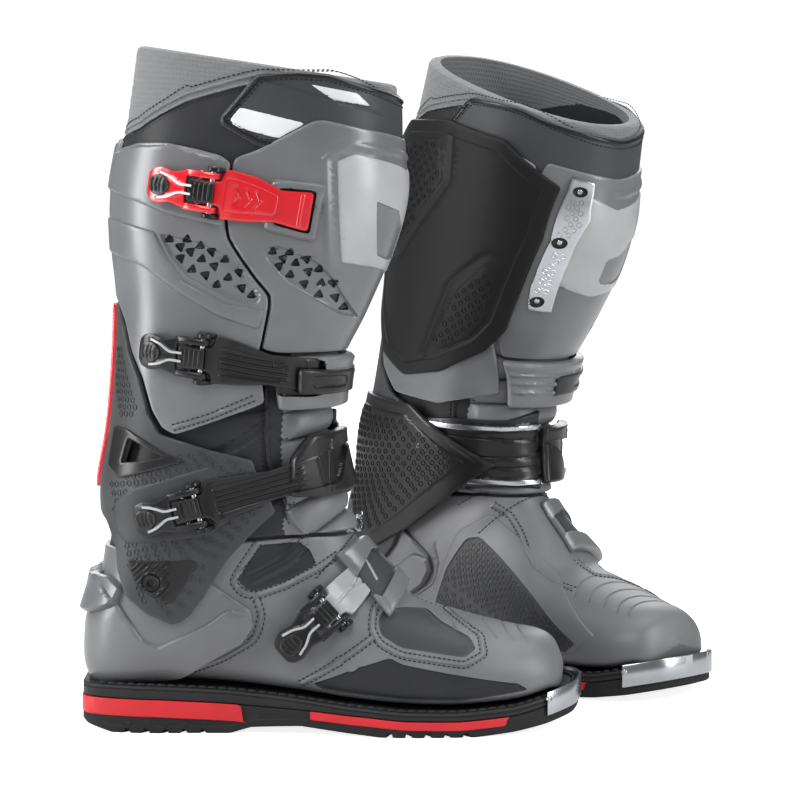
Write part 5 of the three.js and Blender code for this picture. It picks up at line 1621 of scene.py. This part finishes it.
def makeSole():
    spec = soleSpec
    full = soleCurve(0)[0][-1]
    plainStations = rounded(0, full, 150)
    top = lambda drop: (lambda x: soleRise(x) - drop)
    low = lambda rise: (lambda x: weltLow(x) + rise)
    rows = [(-16, top(0.5)), (-1.7, top(0.4)), (-0.7, top(0.6)), (-0.1, top(1.2)), (0.1, top(2.0)),
            (-0.5, top(2.4)),
            (-0.5, top(2.9)), (0.1, top(3.3)), (0.1, low(1.2)), (-0.3, low(0.4)), (-1.2, low(0)),
            (-16, low(0))]
    welt = soleLoft(rows, plainStations)
    addPair("welt", welt, [finish["welt"]], "foot", "foot", ["midsole"], sharp=50)
    xs, halves = soleCurve(-2.7)
    x = rounded(14, full - 3, 240)
    half = np.interp(x, xs, halves)
    z = soleRise(x) + 0.15
    middle = soleLine("shift", x)
    outer, inner = np.stack([x, middle - half, z], -1), np.stack([x, middle + half, z], -1)
    for path in (outer, inner):
        seams.append({"part": "foot", "body": "foot", "points": path, "kind": "welt"})
    width = spec["groove"][0] / 2
    cuts = [c + d for c in spec["grooves"] for d in (-width - 0.15, -width + 0.15, width - 0.15,
                                                     width + 0.15)]
    stations = np.sort(np.concatenate([plainStations, cuts]))
    tread = lambda rise: (lambda x: min(float(treadHeight(x)) + rise, float(weltLow(x)) - 1.5))
    rows = [(-16, low(-0.3)), (-0.5, low(-0.3)), (-0.1, low(-0.7)), (0, low(-1.4)), (0, tread(5.2)),
            (0.35, tread(4.6)),
            (0.35, tread(1.4)), (-0.4, tread(0.4)), (-1.8, tread(0)), (-16, tread(0))]
    sole = soleLoft(rows, stations)
    addPair("outsole", sole, [finish["soleRubber"]], "foot", "foot", ["outsole"], sharp=30)

    def insert(name, node, span, depth, slants):
        rows = [(-8, low(-0.2)), (0.3, low(-0.2)), (0.75, low(-0.7)), (0.8, low(-1.4)),
                (0.8, low(0.9 - depth)),
                (0.7, low(0.4 - depth)), (0.2, low(-depth)), (-8, low(-depth))]

        def lean(s, drop):
            start = slants[0] * (1 - drop) * max(1 - 4 * s, 0)
            return start + slants[1] * drop * max(4 * s - 3, 0)

        shape = soleLoft(rows, rounded(max(span[0], 0), span[1], 70), lean)
        addPair(name, shape, [finish["redRubber"]], "foot", "foot", [node], sharp=35)

    insert("heelInsert", "heel_insert", spec["heelInsert"], 11, (0, 8))
    insert("frontInsert", "forefoot_insert", spec["frontInsert"], 5.5, (0, -6))

    # the steel plate that wraps the toe
    x = rounded(spec["toePlateFrom"], full, 60)
    ring = []
    for grow, height in ((0.3, top(11.5)), (1.7, top(12)), (2.1, top(11.4)), (2.1, top(-2.4)), (1.7, top(-3)),
                         (0.9, top(-3)), (0.3, top(-2.6))):
        xs, halves = soleCurve(grow)
        at = x + (xs[-1] - full) * (x - x[0]) / (full - x[0])
        half = np.interp(at, xs, halves)
        half[-1] = 0
        middle = soleLine("shift", at)
        z = np.array([float(height(q)) for q in at])
        ring.append(np.concatenate([np.stack([at, middle - half, z], -1),
                                    np.stack([at, middle + half, z], -1)[-2::-1]]))
    ring = np.array(ring)
    rows, steps = ring.shape[:2]
    faces = []
    for k in range(rows):
        for i in range(steps - 1):
            j = (k + 1) % rows
            faces.append((k * steps + i, k * steps + i + 1, j * steps + i + 1, j * steps + i))
    faces.append(tuple(k * steps for k in range(rows)))
    faces.append(tuple(k * steps + steps - 1 for k in range(rows))[::-1])
    addPair("toePlate", plainShape(ring.reshape(-1, 3), faces), [finish["steel"]], "foot", "foot",
            ["toe_plate"])
    spots = np.array([ring[3][8], ring[3][-9]])
    ahead = unit(ring[3][[12, -13]] - ring[3][[4, -5]])
    normals = unit(np.cross(ahead, [0, 0, 1.0]) * [[1], [-1]])
    addField("toeScrews", screwShape, spots - [0, 0, 4.2], normals, ahead * [[1], [1]], "foot", "foot",
             "steel", 0.8)


makeSole()
print("sole made")

leverSpec = {
    "outline": ((4.2, 12.5), (-8, 12.5), (-14, 12.3), (-24, 9.6), (-33, 11.6), (-39, 10.2), (-42.4, 6.5)),
    "slot": (8.6, -15),  # half width, and how far back it runs
    "crown": ((-42.4, 2.4), (-38, 4.6), (-30, 6.4), (-23.5, 7.2), (-12, 6.4), (-4, 5.5), (2.5, 4.6),
              (4.6, 2.6)),
    "cheek": ((4.5, -0.6), (4.5, 2.2), (2.4, 4.3), (-14, 6.0), (-17, 4.2), (-12, -0.4), (-8, -2.3),
              (0, -3.2), (3, -2.4)),
    "chevron": ((-33, 8), (-26, 6.4), (-19, 2.4), (-11, 2.6)),
    "pad": ((-39.5, 3.5), (-36, 6.2), (-30, 6.2), (-25.5, 2.5)),
    "padRibs": (-37.5, -34.5, -31.5, -28.5),
    "lug": ((-6.4, -9), (6.4, -9), (4.0, 1.0), (2.9, 2.7), (1.3, 3.5), (-1.3, 3.5), (-2.9, 2.7), (-4.0, 1.0)),
    "lugFrom": 13, "lugTo": 16,
    "finishes": {1: ("redPlastic", "redPlastic"), 2: ("blackPlastic", "blackPlastic"),
                 3: ("blackPlastic", "blackPlastic"), 4: ("blackPlastic", "paleGrey")},
    "lifts": {1: 5.7, 2: 5.7, 3: 5.7, 4: -1.2},  # the surface each buckle stands on
}


# the buckle's own axes on the right boot: x to the strap's end, z out of the boot, from the lever's hinge pin
def buckleAxes(n):
    stance = stances["right"]
    place = lambda p: (np.array(p) * 1000 - stance["origin"]) @ stance["spin"]
    a = place(joints[f"right_lever_{n}_open"]["pos_m"])
    b = place(joints[f"right_strap_{n}_swing"]["pos_m"])
    x = unit(a - b)
    v, angle = locate([(a[0], a[2])], -1)
    out = skinNormal(v, angle)[0]
    y = np.array(joints[f"right_lever_{n}_open"]["axis"]) @ stance["spin"]
    y = unit(y - x * (y @ x))
    z = np.cross(x, y)
    if z @ out < 0:
        y, z = -y, -z
    return {"origin": a, "axes": np.stack([x, y, z])}


def inBuckle(axes, points):
    return np.asarray(points, float) @ axes["axes"] + axes["origin"]


# a side profile given a thickness across it, with its edges broken
def acrossShape(profile, start, end, bevel=0.4):
    loop = np.array(profile, float)
    centre = loop.mean(0)
    small = centre + (loop - centre) * (1 - bevel / np.linalg.norm(loop - centre, axis=1, keepdims=True))
    rings = [(small, start), (loop, start + bevel), (loop, end - bevel), (small, end)]
    points, faces = [], []
    count = len(loop)
    for outline, y in rings:
        points += [(x, y, z) for x, z in outline]
    for k in range(3):
        for i in range(count):
            j = (i + 1) % count
            faces.append((k * count + i, k * count + j, (k + 1) * count + j, (k + 1) * count + i))
    faces.append(tuple(range(count))[::-1])
    faces.append(tuple(3 * count + i for i in range(count)))
    area = (loop[:, 0] * np.roll(loop[:, 1], -1) - np.roll(loop[:, 0], -1) * loop[:, 1]).sum()
    return plainShape(points, faces if area < 0 else [f[::-1] for f in faces])


def pinShape(radius, half, x, z=0.0, corners=18):
    turn = np.linspace(0, 2 * math.pi, corners, endpoint=False)
    return acrossShape([(x + radius * math.cos(t), z + radius * math.sin(t)) for t in turn], -half, half,
                       0.35)


def placed(shape, axes):
    return {**shape, "points": inBuckle(axes, shape["points"])}


def planSurface(axes):
    crown = catmull(leverSpec["crown"])

    def surface(chart):
        x, y = chart[..., 0], chart[..., 1]
        z = np.interp(x, crown[:, 0], crown[:, 1]) - 0.006 * y * y
        slope = (np.interp(x + 0.4, crown[:, 0], crown[:, 1]) - np.interp(x - 0.4, crown[:, 0],
                                                                          crown[:, 1])) / 0.8
        normal = unit(np.stack([-slope, 0.012 * y, 0 * x + 1], -1))
        return np.stack([x, y, z], -1) @ axes["axes"] + axes["origin"], normal @ axes["axes"]

    return surface


def spaced(points, step=0.9):
    points = np.array(points, float)
    rows = []
    for a, b in zip(points, np.roll(points, -1, 0)):
        count = max(int(np.linalg.norm(b - a) / step), 1)
        rows.append(a + (b - a) * (np.arange(count) / count)[:, None])
    return np.concatenate(rows)


def stretched(points, step=0.9):
    points = np.array(points, float)
    return np.concatenate([spaced([a, b], step)[:max(int(np.linalg.norm(b - a) / step), 1)]
                           for a, b in zip(points[:-1], points[1:])] + [points[-1:]])


def makeLever(n, axes):
    spec = leverSpec
    surface = planSurface(axes)
    body = "cuff" if n < 4 else "foot"
    half = np.array(spec["outline"], float)
    wide, deep = spec["slot"]
    outline = [*half.tolist(), *(half[::-1] * [1, -1]).tolist(), (4.2, -wide), (deep, -wide), (deep, wide),
               (4.2, wide)]
    loop = turnedLeft(soften(spaced(outline), 2))
    marks = []
    for sign in (-1, 1):
        path = soften(stretched(np.array(spec["chevron"]) * [1, sign]), 4, closed=False)
        marks.append(ridge(path, 1.5, 0.7))
    pad = np.array(spec["pad"], float)
    pad = turnedLeft(soften(spaced([*pad, *(pad[::-1] * [1, -1])]), 2))
    marks.append(plateau(pad, 0.8, 0.8))
    for x in spec["padRibs"]:
        marks.append(ridge(stretched([(x, -3.6), (x - 0.8, 0), (x, 3.6)]), 0.7, 0.5))
    top = makeSheet(surface, [loop], 0, 3.0, marks, pitch=1.8, rounding=0.9)
    cheek = acrossShape(spec["cheek"], 8.7, 12.4)
    other = {**cheek, "points": cheek["points"] * [1, -1, 1], "faces": cheek["faces"][:, ::-1]}
    shape = joinShapes(top, placed(cheek, axes), placed(other, axes))
    addPair(f"lever{n}", shape, [finish[spec["finishes"][n][0]]], f"lever_{n}", body, [f"lever_{n}"])
    bars = []
    for sign in (-1, 1):
        path = soften(stretched(np.array(spec["chevron"]) * [1, sign]), 4, closed=False)
        edge = np.concatenate([besidePath(surface, path, 0.75, False),
                               besidePath(surface, path, -0.75, False)[::-1]])
        bars.append(makeSheet(surface, [turnedLeft(edge)], 1.15, 0.9, pitch=1.2, rounding=0.3))
    addPair(f"leverBars{n}", joinShapes(*bars), [finish["white" if n == 1 else "paleGrey"]], f"lever_{n}",
            body)
    pins = joinShapes(placed(pinShape(1.8, 16.1, 0), axes), placed(pinShape(1.4, 12.7, -8), axes))
    addPair(f"leverPins{n}", pins, [finish["steel"]], f"lever_{n}", body)
    lug = acrossShape(spec["lug"], spec["lugFrom"], spec["lugTo"])
    other = {**lug, "points": lug["points"] * [1, -1, 1], "faces": lug["faces"][:, ::-1]}
    holder = finish["blackPlastic"]
    rear = makeSheet(surface, [pad], 1.2, 1.2,
                     [ridge(stretched([(x, -3.6), (x - 0.8, 0), (x, 3.6)]), 0.7, 0.4)
                                                for x in spec["padRibs"]], pitch=1.5, rounding=0.5)
    tongue = turnedLeft(soften(spaced([(-13.5, -7.2), (3.6, -6.4), (3.6, 6.4), (-13.5, 7.2)]), 3))
    ribs = [ridge(stretched([(x, -4.5), (x, 4.5)]), 0.8, 0.5) for x in (-9, -6, -3, 0)]
    front = makeSheet(surface, [tongue], -0.6, 2.2, ribs, pitch=1.6, rounding=0.8)
    addPair(f"leverPads{n}", joinShapes(rear, front), [finish["blackPlastic"]], f"lever_{n}", body)
    addPair(f"lugs{n}", joinShapes(placed(lug, axes), placed(other, axes)), [holder], body, body)


# a strap runs from its hinge pin flat onto the boot and along it;
# its chart is along and across, in millimetres
def strapSurface(n, axes):
    buckle = buckles[n]
    lift = leverSpec["lifts"][n] + 3.7
    knots = [buckle["nose"], *[(x, z) for x, z, _ in buckle["strap"]]]
    knots = np.array(knots, float)
    start = 4.6 + np.concatenate([[0], np.cumsum(np.linalg.norm(np.diff(knots, axis=0), axis=1))])
    ahead = unit(knots[-1] - knots[-2])
    s = np.arange(-13.0, start[-1] + 8, 1.0)
    t = np.arange(-20.0, 20.1, 1.6)
    smooth = catmull(np.column_stack([start, knots]), 12)
    line = np.stack([np.interp(s, smooth[:, 0], smooth[:, 1]), np.interp(s, smooth[:, 0], smooth[:, 2])], -1)
    line += np.maximum(s - start[-1], 0)[:, None] * ahead
    back = unit(knots[1] - knots[0])
    line += np.minimum(s - 4.6, 0)[:, None] * back
    along = unit(np.gradient(line, axis=0))
    side = np.stack([-along[:, 1], along[:, 0]], -1)
    sideView = line[:, None] + side[:, None] * t[None, :, None]
    v, a = locate(sideView.reshape(-1, 2), -1)
    onForm = (skin(v, a) + skinNormal(v, a) * lift).reshape(len(s), len(t), 3)
    grid = np.stack(np.meshgrid(s, t, indexing="ij"), -1)
    sign = 1 if (onForm[5, -1] - onForm[5, 0]) @ axes["axes"][1] > 0 else -1
    flat = np.stack([grid[..., 0], grid[..., 1] * sign, 0 * grid[..., 0] + 1.4], -1)
    flat = flat @ axes["axes"] + axes["origin"]
    blend = np.clip((s - 3) / 12, 0, 1)[:, None, None]
    blend = blend * blend * (3 - 2 * blend)
    points = flat + (onForm - flat) * blend
    normals = unit(np.cross(np.gradient(points, axis=0), np.gradient(points, axis=1)))
    if normals[3, 10] @ axes["axes"][2] < 0:
        normals = -normals

    def look(table, chart):
        u = np.clip((chart[..., 0] - s[0]) / 1.0, 0, len(s) - 1.001)
        w = np.clip((chart[..., 1] - t[0]) / 1.6, 0, len(t) - 1.001)
        i, j = u.astype(int), w.astype(int)
        fu, fw = (u - i)[..., None], (w - j)[..., None]
        low = table[i, j] * (1 - fu) + table[i + 1, j] * fu
        high = table[i, j + 1] * (1 - fu) + table[i + 1, j + 1] * fu
        return low * (1 - fw) + high * fw

    return (lambda chart: (look(points, chart), unit(look(normals, chart)))), start


def makeStrap(n, axes):
    surface, start = strapSurface(n, axes)
    body = "cuff" if n < 4 else "foot"
    widths = [w / 2 for _, _, w in buckles[n]["strap"]]
    stops = start[1:]
    edge = [(-10.4, 7.6), (6.4, 7.6), (stops[0] - 1, widths[0])]
    edge += [(s, w) for s, w in zip(stops[1:-1], widths[1:-1])] + [(stops[-1] - 1, widths[-1]),
                                                                   (stops[-1], widths[-1] - 1)]
    outline = [*edge, *[(s, -w) for s, w in edge[::-1]]]
    loop = turnedLeft(soften(spaced(outline), 3))
    name = leverSpec["finishes"][n][1]
    end = stops[-1]
    marks = []
    if n in (2, 3):
        for t in (-5, -1.7, 1.7, 5):
            marks.append(ridge(stretched([(stops[0] + 3, t), (end - 16, t)]), 0.9, 0.7))
        frameLoop = [(stops[0] + 1, 9.5), (end - 18, 7.4), (end - 18, -7.4), (stops[0] + 1, -9.5)]
        marks.append(plateau(turnedLeft(soften(spaced(frameLoop), 3)), -0.6, 0.8))
    elif n == 1:
        cup = [(stops[0] - 1, 11), (stops[0] + 12, 9.6), (end - 20, 6.2), (end - 20, -6.2),
               (stops[0] + 12, -9.6),
               (stops[0] - 1, -11)]
        marks.append(plateau(turnedLeft(soften(spaced(cup), 3)), 0.7, 1.0))
        for s in (stops[0] + 5, stops[0] + 11, stops[0] + 17):
            marks.append(ridge(stretched([(s, -5), (s + 3, 0), (s, 5)]), 1.0, -0.7))
    else:
        marks.append(ridge(stretched([(6, 0), (stops[1], 0), (end - 8, 5)]), 1.3, -0.8))
        marks.append(ridge(stretched([(stops[1], 0), (end - 8, -5)]), 1.3, -0.8))
    marks.append(ridge(stretched([(end - 6, -widths[-1] + 3), (end - 6, widths[-1] - 3)]), 1.3, 0.8))
    sheet = makeSheet(surface, [loop], 0, 3.2, marks, pitch=1.9, rounding=1.0)
    eye = placed(pinShape(3.2, 7.6, -8), axes)
    addPair(f"strap{n}", joinShapes(sheet, eye), [finish[name]], f"strap_{n}", body, [f"strap_{n}"])


for n in buckles:
    axes = buckleAxes(n)
    makeLever(n, axes)
    makeStrap(n, axes)
print("buckles made")


def addStage():
    size = 9.0
    mesh = bpy.data.meshes.new("floor")
    mesh.from_pydata([(-size, -size, 0), (size, -size, 0), (size, size, 0), (-size, size, 0)], [],
                     [(0, 1, 2, 3)])
    ground = bpy.data.materials.new("floor")
    ground.use_nodes = True
    shader = ground.node_tree.nodes["Principled BSDF"]
    shader.inputs["Base Color"].default_value = (0.72, 0.72, 0.72, 1)
    shader.inputs["Roughness"].default_value = 0.7
    shader.inputs["Emission Color"].default_value = (1, 1, 1, 1)
    groundRays = newNode(ground.node_tree, "ShaderNodeLightPath")
    glow = mathNode(ground.node_tree, "MULTIPLY", groundRays.outputs["Is Camera Ray"], 0.85)
    linkAll(ground.node_tree, (glow, shader.inputs["Emission Strength"]))
    mesh.materials.append(ground)
    floor = bpy.data.objects.new("floor", mesh)
    scene.collection.objects.link(floor)

    world = bpy.data.worlds.new("studio")
    scene.world = world
    world.use_nodes = True
    tree = world.node_tree
    seen = tree.nodes["Background"]
    seen.inputs["Color"].default_value = (1, 1, 1, 1)
    seen.inputs["Strength"].default_value = 1.1
    fill = newNode(tree, "ShaderNodeBackground")
    fill.inputs["Color"].default_value = (0.95, 0.97, 1, 1)
    fill.inputs["Strength"].default_value = 0.24
    mix = newNode(tree, "ShaderNodeMixShader")
    rays = newNode(tree, "ShaderNodeLightPath")
    linkAll(tree, (rays.outputs["Is Camera Ray"], mix.inputs[0]), (fill.outputs[0], mix.inputs[1]),
            (seen.outputs[0], mix.inputs[2]), (mix.outputs[0], tree.nodes["World Output"].inputs["Surface"]))
    lamps = {  # place, power and size
        "leftStrip": ((-1.5, -0.5, 0.7), 30, (0.4, 1.6)),
        "key": ((-0.6, -1.8, 1.9), 26, (1.0, 1.0)),
        "rightStrip": ((1.5, -0.8, 0.9), 26, (0.4, 1.6)),
        "top": ((0.1, 0.3, 1.9), 24, (1.8, 1.2)),
        "back": ((0.0, 1.8, 1.0), 18, (1.6, 1.0)),
    }
    for name, (place, power, (wide, tall)) in lamps.items():
        data = bpy.data.lights.new(name, "AREA")
        data.shape = "RECTANGLE"
        data.size, data.size_y, data.energy = wide, tall, power
        lamp = bpy.data.objects.new(name, data)
        lamp.location = place
        lamp.rotation_euler = (Vector((0, 0, 0.2)) - Vector(place)).to_track_quat("-Z", "Y").to_euler()
        scene.collection.objects.link(lamp)
    scene.view_settings.view_transform = "Standard"


addStage()
sewAll()
standAll()
print("stitches and studs made")
